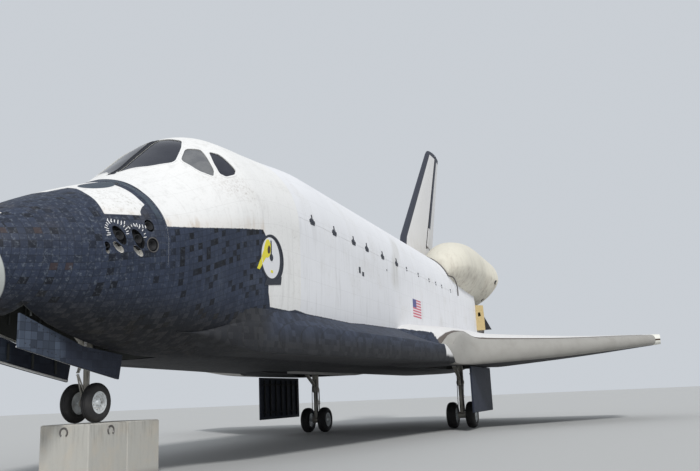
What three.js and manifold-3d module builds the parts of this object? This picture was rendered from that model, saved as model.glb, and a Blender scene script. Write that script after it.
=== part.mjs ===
// Space shuttle orbiter, full size, parked on its landing gear.
// The nose wheels stand on two concrete blocks that keep the craft level.
//
// Shapes are drawn in the orbiter's own station frame, in inches: X grows towards the tail,
// Y towards starboard and Z up. STATION_TO_MM turns them into millimetres, with the origin on
// the ground below the middle of the craft.
// Pieces with a twin on the other side are drawn on the starboard side and mirrored to port.

import * as THREE from 'three';
import { mergeVertices } from 'three/addons/utils/BufferGeometryUtils.js';
import Module from 'manifold-3d';

const wasm = await Module();
wasm.setup();

// Driving dimensions, in inches
const INCH = 25.4;
const NOSE_X = 235.5;
const TAIL_X = 1701;
const GROUND_Z = 167;
const MID_X = (NOSE_X + TAIL_X) / 2;
const SEAM = 0.014;
const CLEARANCE = 0.25;

const CABIN_END_X = 582;
const BAY_END_X = 1307;
const BULKHEAD_END_X = 1313;
const BASE_X = 1515;
const SILL_Z = 418;
const SKIN = 4;
const CABIN_WALL = 5;
const BELLY_Z = 267;
const BODY_HALF_WIDTH = 105;

const HALF_SPAN = 468.34;
const WING_TIP_TE_X = 1442.2;
const TE_SWEEP = 0.17735;
const DIHEDRAL = THREE.MathUtils.degToRad(3.5);
const ELEVON_HINGE_X = 1387;
const ELEVON_HINGE_Z = 279.8;

const FIN_TOP_Z = 815.7;
const RUDDER_FOOT_Z = 553;

const NOSE_GEAR_X = 377;
const BLOCK_TOP_Z = 213.8;
const NOSE_TYRE_RADIUS = 16;
const NOSE_AXLE_Z = BLOCK_TOP_Z + NOSE_TYRE_RADIUS + 0.3;
const MAIN_GEAR_X = 1171;
const MAIN_GEAR_Y = 136;
const MAIN_TYRE_RADIUS = 22;
const MAIN_AXLE_Z = GROUND_Z + MAIN_TYRE_RADIUS;

const STATION_TO_MM = new THREE.Matrix4()
  .makeScale(INCH, INCH, INCH)
  .multiply(new THREE.Matrix4().makeTranslation(-MID_X, 0, -GROUND_Z));

// Fuselage sections. Each one is a superellipse with its own exponent above and below
// its widest line.
// x, z of bottom, z of widest line, z of top, half width, exponent above, exponent below
const BODY_STATIONS = [
  [NOSE_X, 331, 335, 339, 4, 2.0, 2.0],
  [238, 322, 335, 347, 13, 2.0, 2.0],
  [244, 313, 336, 355, 23, 2.0, 2.0],
  [254, 304, 336, 363, 34, 2.0, 2.0],
  [270, 294, 337, 373, 46, 2.0, 2.1],
  [300, 283, 340, 388, 63, 2.0, 2.3],
  [340, 274, 348, 405, 78, 2.0, 2.6],
  [378, 269, 356, 420, 87, 1.95, 2.9],
  [410, BELLY_Z, 366, 438, 93, 1.85, 3.2],
  [440, BELLY_Z, 377, 463, 97, 1.75, 3.6],
  [470, BELLY_Z, 387, 486, 101, 1.8, 4.0],
  [500, BELLY_Z, 394, 497, 103.5, 1.93, 4.5],
  [540, BELLY_Z, 399, 499, BODY_HALF_WIDTH, 1.97, 4.8],
  [CABIN_END_X, BELLY_Z, 400, 500, BODY_HALF_WIDTH, 2.12, 5.0],
  [660, BELLY_Z, 400, 503, BODY_HALF_WIDTH, 2.45, 5.0],
  [BAY_END_X, BELLY_Z, 400, 503, BODY_HALF_WIDTH, 2.45, 5.0],
  [1460, BELLY_Z, 400, 503, BODY_HALF_WIDTH, 2.5, 5.0],
  [BASE_X, 272, 400, 500, BODY_HALF_WIDTH, 2.6, 5.0],
];

// Orbital manoeuvring pods. x, y and z of the widest line, half width inboard and outboard,
// half height
const POD_STATIONS = [
  [1300, 82, 466, 6, 6, 6],
  [1312, 82, 470, 24, 26, 24],
  [1335, 80, 474, 38, 42, 38],
  [1370, 77, 479, 46, 53, 50],
  [1420, 73, 481.6, 49, 58, 60],
  [1480, 71, 483.6, 49, 63, 66],
  [1515, 71, 483.6, 49, 63, 67],
  [1545, 73, 479.3, 50, 68, 64],
  [1572, 77, 473, 52, 74, 59.6],
];

// Windshield panes on the port side: corners on the canopy, x, y, z
const WINDSHIELDS = {
  forward: [
    [402, -3.5, 434], [414, -14, 440], [420, -28, 441], [436, -44.5, 447],
    [459, -37, 468], [474, -28, 481], [474, -12, 486], [470, -3.5, 486],
  ],
  middle: [
    [442.5, -47, 450], [460, -40.5, 467], [470, -51, 467.6], [467, -58, 460.5],
    [458, -73.5, 440], [452, -76.5, 432], [444, -66, 437],
  ],
  side: [
    [474.5, -57.5, 466], [482.5, -65, 464], [484, -82, 446], [478, -84.5, 440],
    [465, -82.5, 434.5], [460.5, -78, 437], [465, -68.5, 450],
  ],
};

const material = (color, roughness, metalness = 0) =>
  new THREE.MeshStandardMaterial({ color, roughness, metalness });
const WHITE_BLANKET = material(0xe9ebee, 0.85);
const BLACK_TILE = material(0x232a36, 0.7);
const CREAM_BLANKET = material(0xe6e2d0, 0.85);
const CARBON_EDGE = material(0xcfcdc4, 0.6);
const NOSE_CARBON = material(0xb9bcb6, 0.6);
const GLASS = material(0x1c2126, 0.1);
const DOOR_WHITE = material(0xeceded, 0.8);
const LINER = material(0xd8d6cc, 0.9);
const NOZZLE_METAL = material(0x6e6a66, 0.4, 0.8);
const GEAR_METAL = material(0xc9ccd0, 0.35, 0.6);
const WHEEL_METAL = material(0xb9c2c6, 0.4, 0.7);
const TYRE_RUBBER = material(0x17181a, 0.9);
const CONCRETE = material(0x9c9a92, 0.95);

// Points and small shape helpers

const v3 = (x, y, z) => new THREE.Vector3(x, y, z);
const lerp = THREE.MathUtils.lerp;

// Reads a table of [x, ...values] at x, straight between its rows
function readTable(table, x) {
  const last = table.length - 1;
  if (x <= table[0][0]) return table[0].slice(1);
  if (x >= table[last][0]) return table[last].slice(1);
  const row = table.findIndex((entry) => entry[0] >= x);
  const [a, b] = [table[row - 1], table[row]];
  const t = (x - a[0]) / (b[0] - a[0]);
  return a.slice(1).map((value, i) => lerp(value, b[i + 1], t));
}

// Swaps the winding of an indexed geometry
function flipFaces(geometry) {
  const index = geometry.index.array;
  for (let i = 0; i < index.length; i += 3) {
    [index[i + 1], index[i + 2]] = [index[i + 2], index[i + 1]];
  }
  return geometry;
}

function signedVolume(geometry) {
  const [a, b, c] = [v3(), v3(), v3()];
  const { position } = geometry.attributes;
  const index = geometry.index.array;
  let six = 0;
  for (let i = 0; i < index.length; i += 3) {
    a.fromBufferAttribute(position, index[i]);
    b.fromBufferAttribute(position, index[i + 1]);
    c.fromBufferAttribute(position, index[i + 2]);
    six += a.dot(b.cross(c));
  }
  return six / 6;
}

// Closed skin through rings of equal length, with a flat cap at each end. Each four-sided face
// is split along its shorter diagonal, so that both sides of the craft are split alike.
function loft(rings) {
  const count = rings[0].length;
  const points = rings.flat();
  const index = [];
  for (let r = 0; r + 1 < rings.length; r += 1) {
    for (let i = 0; i < count; i += 1) {
      const j = (i + 1) % count;
      const [a, b] = [r * count + i, r * count + j];
      const [c, d] = [a + count, b + count];
      if (points[a].distanceTo(points[d]) <= points[b].distanceTo(points[c])) {
        index.push(a, b, d, a, d, c);
      } else {
        index.push(a, b, c, b, d, c);
      }
    }
  }
  for (const [ring, start, turn] of [
    [rings[0], 0, true],
    [rings[rings.length - 1], (rings.length - 1) * count, false],
  ]) {
    const middle = points.length;
    points.push(ring.reduce((sum, p) => sum.add(p), v3()).divideScalar(count));
    for (let i = 0; i < count; i += 1) {
      const j = (i + 1) % count;
      index.push(middle, start + (turn ? j : i), start + (turn ? i : j));
    }
  }
  const geometry = new THREE.BufferGeometry();
  geometry.setAttribute('position', new THREE.Float32BufferAttribute(
    points.flatMap((p) => [p.x, p.y, p.z]), 3));
  geometry.setIndex(index);
  return signedVolume(geometry) < 0 ? flipFaces(geometry) : geometry;
}

// Solid from an indexed geometry whose vertices are already shared
function indexedSolid(geometry) {
  return new wasm.Manifold(new wasm.Mesh({
    numProp: 3,
    vertProperties: Float32Array.from(geometry.attributes.position.array),
    triVerts: Uint32Array.from(geometry.index.array),
  }));
}

function toSolid(geometry) {
  const bare = geometry.clone();
  bare.deleteAttribute('normal');
  bare.deleteAttribute('uv');
  return indexedSolid(mergeVertices(bare, 1e-4));
}

function toGeometry(solid) {
  const mesh = solid.getMesh();
  const geometry = new THREE.BufferGeometry();
  geometry.setAttribute('position', new THREE.Float32BufferAttribute(mesh.vertProperties, 3));
  geometry.setIndex([...mesh.triVerts]);
  return geometry;
}

function box([x0, x1], [y0, y1], [z0, z1]) {
  const geometry = new THREE.BoxGeometry(x1 - x0, y1 - y0, z1 - z0);
  geometry.translate((x0 + x1) / 2, (y0 + y1) / 2, (z0 + z1) / 2);
  return toSolid(geometry);
}

// Prism from an outline in plan, between two heights
function planPrism(points, z0, z1) {
  const shape = new THREE.Shape(points.map(([x, y]) => new THREE.Vector2(x, y)));
  const geometry = new THREE.ExtrudeGeometry(shape, { depth: z1 - z0, bevelEnabled: false });
  geometry.translate(0, 0, z0);
  return toSolid(geometry);
}

// Prism from a side-view outline of [x, z] points, between two Y
function sidePrism(points, y0, y1) {
  const shape = new THREE.Shape(points.map(([x, z]) => new THREE.Vector2(x, z)));
  const geometry = new THREE.ExtrudeGeometry(shape, { depth: y1 - y0, bevelEnabled: false });
  geometry.rotateX(Math.PI / 2);
  geometry.translate(0, y1, 0);
  return toSolid(geometry);
}

// Round bar, or cone, from one point to another
function bar(from, to, radius, endRadius = radius, segments = 16) {
  const along = to.clone().sub(from);
  const geometry = new THREE.CylinderGeometry(endRadius, radius, along.length(), segments);
  const turn = new THREE.Quaternion().setFromUnitVectors(v3(0, 1, 0), along.clone().normalize());
  geometry.applyQuaternion(turn);
  geometry.translate(...from.clone().add(to).divideScalar(2).toArray());
  return toSolid(geometry);
}

// Turned shape about a line: profile of [distance along the line, radius]
function turned(profile, start, direction, segments, twist = 0) {
  const points = profile.map(([along, radius]) => new THREE.Vector2(radius, along));
  const geometry = new THREE.LatheGeometry(points, segments);
  geometry.rotateY(twist);
  const turn = new THREE.Quaternion().setFromUnitVectors(v3(0, 1, 0), direction);
  geometry.applyQuaternion(turn);
  geometry.translate(...start.toArray());
  const bare = geometry.clone();
  bare.deleteAttribute('normal');
  bare.deleteAttribute('uv');
  const merged = mergeVertices(bare, 1e-4);
  return toSolid(signedVolume(merged) < 0 ? flipFaces(merged) : merged);
}

const join = (...solids) => solids.reduce((sum, solid) => sum.add(solid));
const toPort = (solid) => indexedSolid(flipFaces(toGeometry(solid).scale(1, -1, 1)));

// The finished craft

const orbiter = new THREE.Group();
orbiter.name = 'space_shuttle_orbiter';

function addPart(name, solid, look) {
  const geometry = toGeometry(solid);
  geometry.applyMatrix4(STATION_TO_MM);
  geometry.computeVertexNormals();
  const mesh = new THREE.Mesh(geometry, look);
  mesh.name = name;
  orbiter.add(mesh);
}

// Adds a starboard piece and its port twin
function addPair(name, solid, look) {
  addPart(`${name}_starboard`, solid, look);
  addPart(`${name}_port`, toPort(solid), look);
}

// Fuselage

const BODY_POINTS = 36;

function bodyRing(x, inset) {
  const [bottom, wide, top, width, above, below] = readTable(BODY_STATIONS, x);
  const ring = [];
  for (let i = 0; i < BODY_POINTS; i += 1) {
    const angle = (2 * Math.PI * i) / BODY_POINTS;
    const [c, s] = [Math.cos(angle), Math.sin(angle)];
    const power = 2 / (s >= 0 ? above : below);
    const height = (s >= 0 ? top - wide : wide - bottom) - inset;
    ring.push(v3(
      x,
      (width - inset) * Math.sign(c) * Math.abs(c) ** power,
      wide + height * Math.sign(s) * Math.abs(s) ** power,
    ));
  }
  return ring;
}

// Body between two stations, its skin moved in by inset
function bodySolid(from, to, inset = 0) {
  const between = BODY_STATIONS.map((row) => row[0]).filter((x) => x > from + 1 && x < to - 1);
  return toSolid(loft([from, ...between, to].map((x) => bodyRing(x, inset))));
}

// Spans that reach past the whole craft
const everyX = [0, 2000];
const everyY = [-700, 700];
const everyZ = [0, 1000];
const wholeBody = bodySolid(NOSE_X, BASE_X);
const bodyWithSeam = bodySolid(NOSE_X + SEAM, BASE_X + SEAM, -SEAM);

const CAP_END_X = 254;
addPart('nose_cap', bodySolid(NOSE_X, CAP_END_X), NOSE_CARBON);

const CABIN_HOLLOW = [264, CABIN_END_X - 6];
const cabinHollow = bodySolid(...CABIN_HOLLOW, CABIN_WALL);
let cabin = bodySolid(CAP_END_X + SEAM, CABIN_END_X).subtract(cabinHollow);

// Forward thruster module: the upper deck ahead of the windshields
const THRUSTER_MODULE = { x: [304, 368], z: [335, 480] };
// x, z of a thruster's mouth, on both sides of the module
const SIDE_THRUSTERS = [[323, 353.5], [338, 354.5], [352, 365.5], [353.5, 350]];
const THRUSTER_RADIUS = 4.2;
const THRUSTER_DEPTH = 4;
const grown = ([low, high], by) => [low - by, high + by];
const moduleBox = box(THRUSTER_MODULE.x, everyY, THRUSTER_MODULE.z);
const moduleHole = box(grown(THRUSTER_MODULE.x, SEAM), everyY, grown(THRUSTER_MODULE.z, SEAM));
let thrusterModule = cabin.intersect(moduleBox);
cabin = cabin.subtract(moduleHole);
for (const [x, z] of SIDE_THRUSTERS) {
  const [, wide, top, width, above] = readTable(BODY_STATIONS, x);
  const skinY = width * (1 - (Math.max(z - wide, 0) / (top - wide)) ** above) ** (1 / above);
  for (const side of [-1, 1]) {
    thrusterModule = thrusterModule.subtract(bar(
      v3(x, side * (skinY - THRUSTER_DEPTH), z), v3(x, side * (skinY + 12), z),
      THRUSTER_RADIUS, THRUSTER_RADIUS, 12));
  }
}
addPart('forward_thruster_module', thrusterModule, BLACK_TILE);

// Six windshield panes, each set back in its own opening
const PANE_OUTSIDE = 0.7;
const PANE_INSIDE = 2.4;
const PANE_SPAN = [380, 520];
const paneLayer = bodySolid(...PANE_SPAN, PANE_OUTSIDE)
  .subtract(bodySolid(...grown(PANE_SPAN, 1), PANE_INSIDE));

// Prism through a pane's outline along its own normal, its corners moved out by grow
function paneCutter(corners, grow) {
  const points = corners.map((corner) => v3(...corner));
  const middle = points.reduce((sum, p) => sum.add(p), v3()).divideScalar(points.length);
  const normal = v3();
  points.forEach((p, i) => {
    const next = points[(i + 1) % points.length];
    normal.add(p.clone().sub(middle).cross(next.clone().sub(middle)));
  });
  normal.normalize();
  const ringAt = (offset) => points.map((p) => {
    const out = p.clone().sub(middle);
    out.addScaledVector(normal, -out.dot(normal));
    const length = out.length();
    return middle.clone().addScaledVector(out, (length + grow) / length)
      .addScaledVector(normal, offset);
  });
  return toSolid(loft([ringAt(-14), ringAt(14)]));
}

for (const [place, corners] of Object.entries(WINDSHIELDS)) {
  const opening = paneCutter(corners, SEAM);
  const pane = paneLayer.intersect(paneCutter(corners, 0));
  cabin = cabin.subtract(opening).subtract(toPort(opening));
  addPart(`windshield_${place}_port`, pane, GLASS);
  addPart(`windshield_${place}_starboard`, toPort(pane), GLASS);
}

// Round side hatch on the port side, tapered so that it swings out and down
const HATCH = { x: 515.9, y: -102.5, z: 361.8, radius: 21, reach: 12.5, slope: 0.32 };
const HATCH_SEGMENTS = 32;
function hatchCone(grow) {
  const flare = HATCH.reach * HATCH.slope;
  return bar(
    v3(HATCH.x, HATCH.y + HATCH.reach, HATCH.z), v3(HATCH.x, HATCH.y - HATCH.reach, HATCH.z),
    HATCH.radius - flare + grow, HATCH.radius + flare + grow, HATCH_SEGMENTS);
}
addPart('side_hatch', cabin.intersect(hatchCone(0)), BLACK_TILE);
cabin = cabin.subtract(hatchCone(CLEARANCE));

// Nose wheel well: a tub let into the nose, open below
const WELL = { x: [276, 432], y: [-27, 27], top: 330 };
const WELL_WALL = 1.5;
const WELL_EDGE_INSET = 0.5;
const wellBlock = (wall) => box(
  grown(WELL.x, wall), grown(WELL.y, wall), [everyZ[0], WELL.top + wall]);
const wellTub = wellBlock(WELL_WALL)
  .subtract(wellBlock(0))
  .intersect(bodySolid(CAP_END_X, CABIN_END_X, WELL_EDGE_INSET));
const wellHole = wellBlock(WELL_WALL + SEAM);
cabin = cabin.subtract(wellHole);
addPart('nose_wheel_well', wellTub, LINER);
addPart('forward_fuselage', cabin, WHITE_BLANKET);

// Mid fuselage: an open trough below the sills, with the bay's liner inside
const LINER_RADIUS = 93.6;
const LINER_WALL = 2.6;
const LINER_RIM = { y: 99.4, z: [410, SILL_Z] };
const AXIS_Z = 400;
const midOutside = bodySolid(CABIN_END_X + SEAM, BAY_END_X - SEAM);
const midInside = bodySolid(CABIN_END_X - 1, BAY_END_X + 1, SKIN);
const belowSill = box(everyX, everyY, [everyZ[0], SILL_Z]);
addPart('mid_fuselage', midOutside.subtract(midInside).intersect(belowSill), WHITE_BLANKET);

function bayLiner() {
  const [x0, x1] = [CABIN_END_X + 1, BAY_END_X - 1];
  const tube = (radius) => bar(v3(x0 - 5, 0, AXIS_Z), v3(x1 + 5, 0, AXIS_Z), radius, radius, 40);
  const rim = box([x0, x1], [-LINER_RIM.y, LINER_RIM.y], LINER_RIM.z);
  const trough = tube(LINER_RADIUS).intersect(box([x0, x1], everyY, [everyZ[0], LINER_RIM.z[1]]));
  return join(trough, rim).subtract(tube(LINER_RADIUS - LINER_WALL));
}
addPart('payload_bay_liner', bayLiner(), LINER);

// Payload bay doors, hinged along the sills and meeting on the centreline
const DOOR_WALL = 3;
const DOOR_END_GAP = 5;
const doorShell = bodySolid(CABIN_END_X + CLEARANCE, BAY_END_X - DOOR_END_GAP)
  .subtract(bodySolid(CABIN_END_X - 1, BAY_END_X, DOOR_WALL));
const starboardHalf = box(
  [CABIN_END_X, BAY_END_X], [CLEARANCE / 2, everyY[1]], [SILL_Z + CLEARANCE, everyZ[1]]);
addPair('payload_bay_door', doorShell.intersect(starboardHalf), DOOR_WHITE);

// Main engines: a plain block for the pumps and an open bell
// name, x, y, z of the gimbal, upward tilt in degrees
const ENGINES = [
  ['centre', 1445, 0, 443, 16],
  ['port', 1468, -53, 342.6, 10],
  ['starboard', 1468, 53, 342.6, 10],
];
// distance from the gimbal, radius: outside of the block and the bell, then back inside it
const ENGINE_PROFILE = [
  [2, 0], [2, 22], [46, 22], [52, 12], [62, 15], [80, 24], [104, 33], [134, 40.8],
  [168, 45.4], [168, 43.8], [134, 39.2], [104, 31.4], [80, 22.4], [62, 12], [56, 0],
];
const ENGINE_SEGMENTS = 24;
const engineLine = (tilt) => {
  const angle = THREE.MathUtils.degToRad(tilt);
  return v3(Math.cos(angle), 0, Math.sin(angle));
};

// Aft fuselage: hollow behind its bulkhead, in two lengths. The rear one has a dome round each
// engine and a hole that it passes through
addPart('aft_bulkhead', bodySolid(BAY_END_X, BULKHEAD_END_X), WHITE_BLANKET);
const BASE_WALL = 6;
const DOME = { foot: 42, top: 36, height: 15, root: 8, hole: 33, segments: 24 };
const HOLE_REACH = [-20, 40];
const behindBase = box([BASE_X - BASE_WALL / 2, everyX[1]], everyY, everyZ);
let aftBody = bodySolid(BULKHEAD_END_X + SEAM, BASE_X);
let aftHollow = bodySolid(BULKHEAD_END_X - 1, BASE_X - BASE_WALL, CABIN_WALL);
for (const [, x, y, z, tilt] of ENGINES) {
  const line = engineLine(tilt);
  const gimbal = v3(x, y, z);
  const at = (stationX) => gimbal.clone().addScaledVector(line, (stationX - x) / line.x);
  const dome = bar(
    at(BASE_X - DOME.root), at(BASE_X + DOME.height), DOME.foot, DOME.top, DOME.segments);
  aftBody = join(aftBody, dome.intersect(behindBase));
  aftHollow = join(aftHollow, bar(
    at(BASE_X + HOLE_REACH[0]), at(BASE_X + HOLE_REACH[1]), DOME.hole, DOME.hole, DOME.segments));
}
aftBody = aftBody.subtract(aftHollow);
const BASE_JOIN_X = 1440;
addPart('aft_fuselage',
  aftBody.intersect(box([everyX[0], BASE_JOIN_X], everyY, everyZ)), WHITE_BLANKET);
addPart('base_section',
  aftBody.intersect(box([BASE_JOIN_X + SEAM, everyX[1]], everyY, everyZ)), WHITE_BLANKET);
for (const [name, x, y, z, tilt] of ENGINES) {
  addPart(`main_engine_${name}`,
    turned(ENGINE_PROFILE, v3(x, y, z), engineLine(tilt), ENGINE_SEGMENTS), NOZZLE_METAL);
}

// Manoeuvring pods on the aft shoulders, with their nozzles
const POD_POINTS = 24;
// Superellipse exponents above and below a pod's widest line
const POD_EXPONENT = { above: 2.15, below: 1.5 };
const wholePod = toSolid(loft(POD_STATIONS.map(([x, yMid, zMid, inner, outer, height]) => {
  const ring = [];
  for (let i = 0; i < POD_POINTS; i += 1) {
    const angle = (2 * Math.PI * i) / POD_POINTS;
    const [c, s] = [Math.cos(angle), Math.sin(angle)];
    const power = 2 / (s >= 0 ? POD_EXPONENT.above : POD_EXPONENT.below);
    ring.push(v3(
      x,
      yMid + (c >= 0 ? outer : inner) * Math.sign(c) * Math.abs(c) ** power,
      zMid + height * Math.sign(s) * Math.abs(s) ** power,
    ));
  }
  return ring;
})));
const POD_NOZZLE = { x: 1552, y: 94, z: 500, tilt: 15, outward: 10, segments: 20 };
// distance from the nozzle's throat, radius: outside, then back inside
const POD_NOZZLE_PROFILE = [
  [-8, 0], [-8, 6], [0, 6], [6, 10], [18, 16], [32, 20.5], [46, 23],
  [46, 22], [32, 19.4], [18, 14.8], [6, 8], [4, 0],
];
const nozzleTilt = THREE.MathUtils.degToRad(POD_NOZZLE.tilt);
const nozzleOut = THREE.MathUtils.degToRad(POD_NOZZLE.outward);
const nozzleLine = v3(
  Math.cos(nozzleTilt) * Math.cos(nozzleOut), Math.sin(nozzleOut), Math.sin(nozzleTilt)).normalize();
const nozzleStart = v3(POD_NOZZLE.x, POD_NOZZLE.y, POD_NOZZLE.z);
// Where the well starts and ends along the nozzle's line, and its radius there
const NOZZLE_WELL = { along: [-10, 40], radius: [17, 30] };
const nozzleWell = bar(
  ...NOZZLE_WELL.along.map((along) => nozzleStart.clone().addScaledVector(nozzleLine, along)),
  ...NOZZLE_WELL.radius, ENGINE_SEGMENTS);
// Room between the pods for the centre engine's dome and bell
const ENGINE_PASSAGE = { length: 150, radius: [44, 52], segments: 32 };
const [, upperX, upperY, upperZ, upperTilt] = ENGINES[0];
const upperGimbal = v3(upperX, upperY, upperZ);
const enginePassage = bar(
  upperGimbal, upperGimbal.clone().addScaledVector(engineLine(upperTilt), ENGINE_PASSAGE.length),
  ...ENGINE_PASSAGE.radius, ENGINE_PASSAGE.segments);
addPair('manoeuvring_pod', wholePod
  .subtract(bodyWithSeam)
  .subtract(nozzleWell)
  .subtract(enginePassage)
  .subtract(box([everyX[0], BAY_END_X], everyY, everyZ)), CREAM_BLANKET);
addPair('manoeuvring_nozzle',
  turned(POD_NOZZLE_PROFILE, nozzleStart, nozzleLine, POD_NOZZLE.segments), NOZZLE_METAL);

// Wing, drawn on the starboard side

const wingTrailingX = (y) => WING_TIP_TE_X + (HALF_SPAN - y) * TE_SWEEP;
const hingeZ = (y) => ELEVON_HINGE_Z + y * Math.tan(DIHEDRAL);
// Straight 81 degree strake blended into the 45 degree leading edge
const KINK_BLEND = 14;
const EDGE_FOOT_X = 836;
const STRAKE = { x: 500, y: 104.5, slope: 0.1592 };
function leadingEdgeY(x) {
  const strake = STRAKE.y + (x - STRAKE.x) * STRAKE.slope;
  const main = x - EDGE_FOOT_X;
  const half = (strake - main) / 2;
  return (strake + main) / 2 + Math.sqrt(half * half + KINK_BLEND * KINK_BLEND / 4);
}
// y, z of the leading edge, strake thickness, greatest wing thickness
const WING_STATIONS = [
  [98, 285, 32, 56],
  [150, 283, 28, 52],
  [200, 281, 20, 45],
  [300, 289, 15, 34],
  [400, 298, 11, 23],
  [HALF_SPAN, 303, 8, 15],
];
const WING_POINTS = 12;
// Height of the wing's flat underside at the root, and how it rises outboard
const UNDERSIDE = { z: 267.4, from: 190, rise: 0.07, sharpness: 8 };
const TRAILING_THICKNESS = 1.6;
// Length of the rounded edge as a share of the strake's thickness there
const EDGE_LENGTH = 0.9;
// Share of the strake's thickness that the wing's own section takes up
const PLATE_IN_BULGE = 0.4;
// The bulge of the wing's section starts this far ahead of the straight 45 degree edge
const BULGE_LEAD = 50;

const aerofoil = (s) => 10 * (0.2969 * Math.sqrt(s) - 0.126 * s - 0.3516 * s ** 2
  + 0.2843 * s ** 3 - 0.1036 * s ** 4);

// Heights of the upper and lower surface at x, on the rib at y whose nose is at noseX
function wingHeights(x, y, noseX) {
  const [noseZ, plate, greatest] = readTable(WING_STATIONS, y);
  const trailingX = wingTrailingX(y);
  const bulgeX = Math.max(noseX, EDGE_FOOT_X + y - BULGE_LEAD);
  const alongBulge = THREE.MathUtils.clamp((x - bulgeX) / (trailingX - bulgeX), 0, 1);
  const alongNose = THREE.MathUtils.clamp((x - noseX) / (plate * EDGE_LENGTH), 0, 1);
  const alongAll = THREE.MathUtils.clamp((x - noseX) / (trailingX - noseX), 0, 1);
  const edge = Math.sqrt(1 - (1 - alongNose) ** 2);
  const full = plate * (1 - alongBulge) * edge
    + (greatest - plate * PLATE_IN_BULGE) * aerofoil(alongBulge);
  const toTrailing = alongAll ** 8;
  const thickness = lerp(full, TRAILING_THICKNESS, toTrailing);
  const beforeHinge = THREE.MathUtils.clamp((x - noseX) / (ELEVON_HINGE_X - noseX), 0, 1);
  const middle = lerp(noseZ, hingeZ(y), beforeHinge);
  const room = middle - UNDERSIDE.z - Math.max(0, y - UNDERSIDE.from) * UNDERSIDE.rise;
  const half = thickness / 2;
  const below = (half * room) / (half ** UNDERSIDE.sharpness + room ** UNDERSIDE.sharpness)
    ** (1 / UNDERSIDE.sharpness);
  return [middle + thickness - below, middle - below];
}

function wingRing(noseX, y) {
  const trailingX = wingTrailingX(y);
  const upper = [];
  const lower = [];
  for (let i = 0; i <= WING_POINTS; i += 1) {
    const share = 1 - Math.cos((Math.PI / 2) * (i / WING_POINTS));
    const x = i === WING_POINTS ? trailingX : noseX + (trailingX - noseX) * share;
    const [top, bottom] = wingHeights(x, y, noseX);
    upper.push(v3(x, y, top));
    if (i > 0) lower.push(v3(x, y, bottom));
  }
  return [...upper, ...lower.reverse()];
}

const NOSE_STATIONS = [STRAKE.x, 640, 780, 900, 960, 1000, 1040, 1090, 1150, 1220, 1290];
const TIP_X = EDGE_FOOT_X + HALF_SPAN;
const wholeWing = toSolid(loft([
  wingRing(STRAKE.x, 96),
  ...NOSE_STATIONS.map((x) => wingRing(x, leadingEdgeY(x))),
  wingRing(TIP_X + 2, HALF_SPAN),
])).subtract(bodyWithSeam);

// Reinforced carbon leading edge, from the strake's end to the tip
const CARBON_STATIONS = [928, 950, 970, 990, 1010, 1030, 1050, 1080, 1120, 1180, 1296];
const CARBON_DEPTH = [22, 11];
function carbonOutline(grow) {
  const front = CARBON_STATIONS.map((x) => [x - 12, leadingEdgeY(x) + 12]);
  const back = CARBON_STATIONS.map((x, i) => {
    const depth = lerp(...CARBON_DEPTH, i / (CARBON_STATIONS.length - 1)) + grow;
    const y = leadingEdgeY(x);
    const slope = leadingEdgeY(x + 1) - y;
    const length = Math.hypot(1, slope);
    return [x + (depth * slope) / length, y - depth / length];
  });
  front[0][0] -= grow;
  back[0][0] -= grow;
  front[front.length - 1][1] += grow;
  back[back.length - 1][1] += grow;
  return [...front, ...back.reverse()];
}
// The carbon's inner end slants back below the edge. x and z of its side-view outline
const CARBON_INNER_END = [[928, 300], [976, 260]];
function carbonRegion(grow) {
  const innerEnd = CARBON_INNER_END.map(([x, z]) => [x - grow, z]);
  return planPrism(carbonOutline(grow), ...everyZ).intersect(sidePrism([
    [innerEnd[0][0], everyZ[1]], ...innerEnd,
    [everyX[1], CARBON_INNER_END[1][1]], [everyX[1], everyZ[1]],
  ], ...everyY));
}
addPair('wing_leading_edge', wholeWing.intersect(carbonRegion(0)), CARBON_EDGE);

// Elevons: slices across the hinge line, measured along it from the craft's middle
// name, inner end, outer end
const ELEVONS = [['inboard', 115, 281], ['outboard', 283, 464]];
const HINGE_LINE = v3(0, Math.cos(DIHEDRAL), Math.sin(DIHEDRAL));
const hingePoint = (along) => v3(
  ELEVON_HINGE_X, along * Math.cos(DIHEDRAL), ELEVON_HINGE_Z + along * Math.sin(DIHEDRAL));
function hingeRadius(along) {
  const { y } = hingePoint(along);
  const noseX = y < UNDERSIDE.from ? STRAKE.x + (y - STRAKE.y) / STRAKE.slope : EDGE_FOOT_X + y;
  const [top, bottom] = wingHeights(ELEVON_HINGE_X, y, noseX);
  return (top - bottom) / 2;
}
// Block across the wing behind the hinge line, between two places along it
const ELEVON_BLOCK = { length: 200, height: 120 };
const HINGE_ROLL_REACH = 30;
function elevonBlock(inner, outer, front) {
  const geometry = new THREE.BoxGeometry(ELEVON_BLOCK.length, outer - inner, ELEVON_BLOCK.height);
  geometry.translate(ELEVON_BLOCK.length / 2 + front, (inner + outer) / 2, 0);
  geometry.rotateX(DIHEDRAL);
  geometry.translate(ELEVON_HINGE_X, 0, ELEVON_HINGE_Z);
  return toSolid(geometry);
}
// Round front edge of an elevon, or the cove it turns in, between two places along the hinge
function hingeRoll(inner, outer, scale, grow) {
  const between = WING_STATIONS.map(([y]) => y / Math.cos(DIHEDRAL))
    .filter((along) => along > inner + 1 && along < outer - 1);
  const profile = [inner, ...between, outer].map((along) => [
    along - inner, hingeRadius(along) * scale + grow,
  ]);
  return turned([[0, 0], ...profile, [outer - inner, 0]], hingePoint(inner), HINGE_LINE, 24);
}

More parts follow.
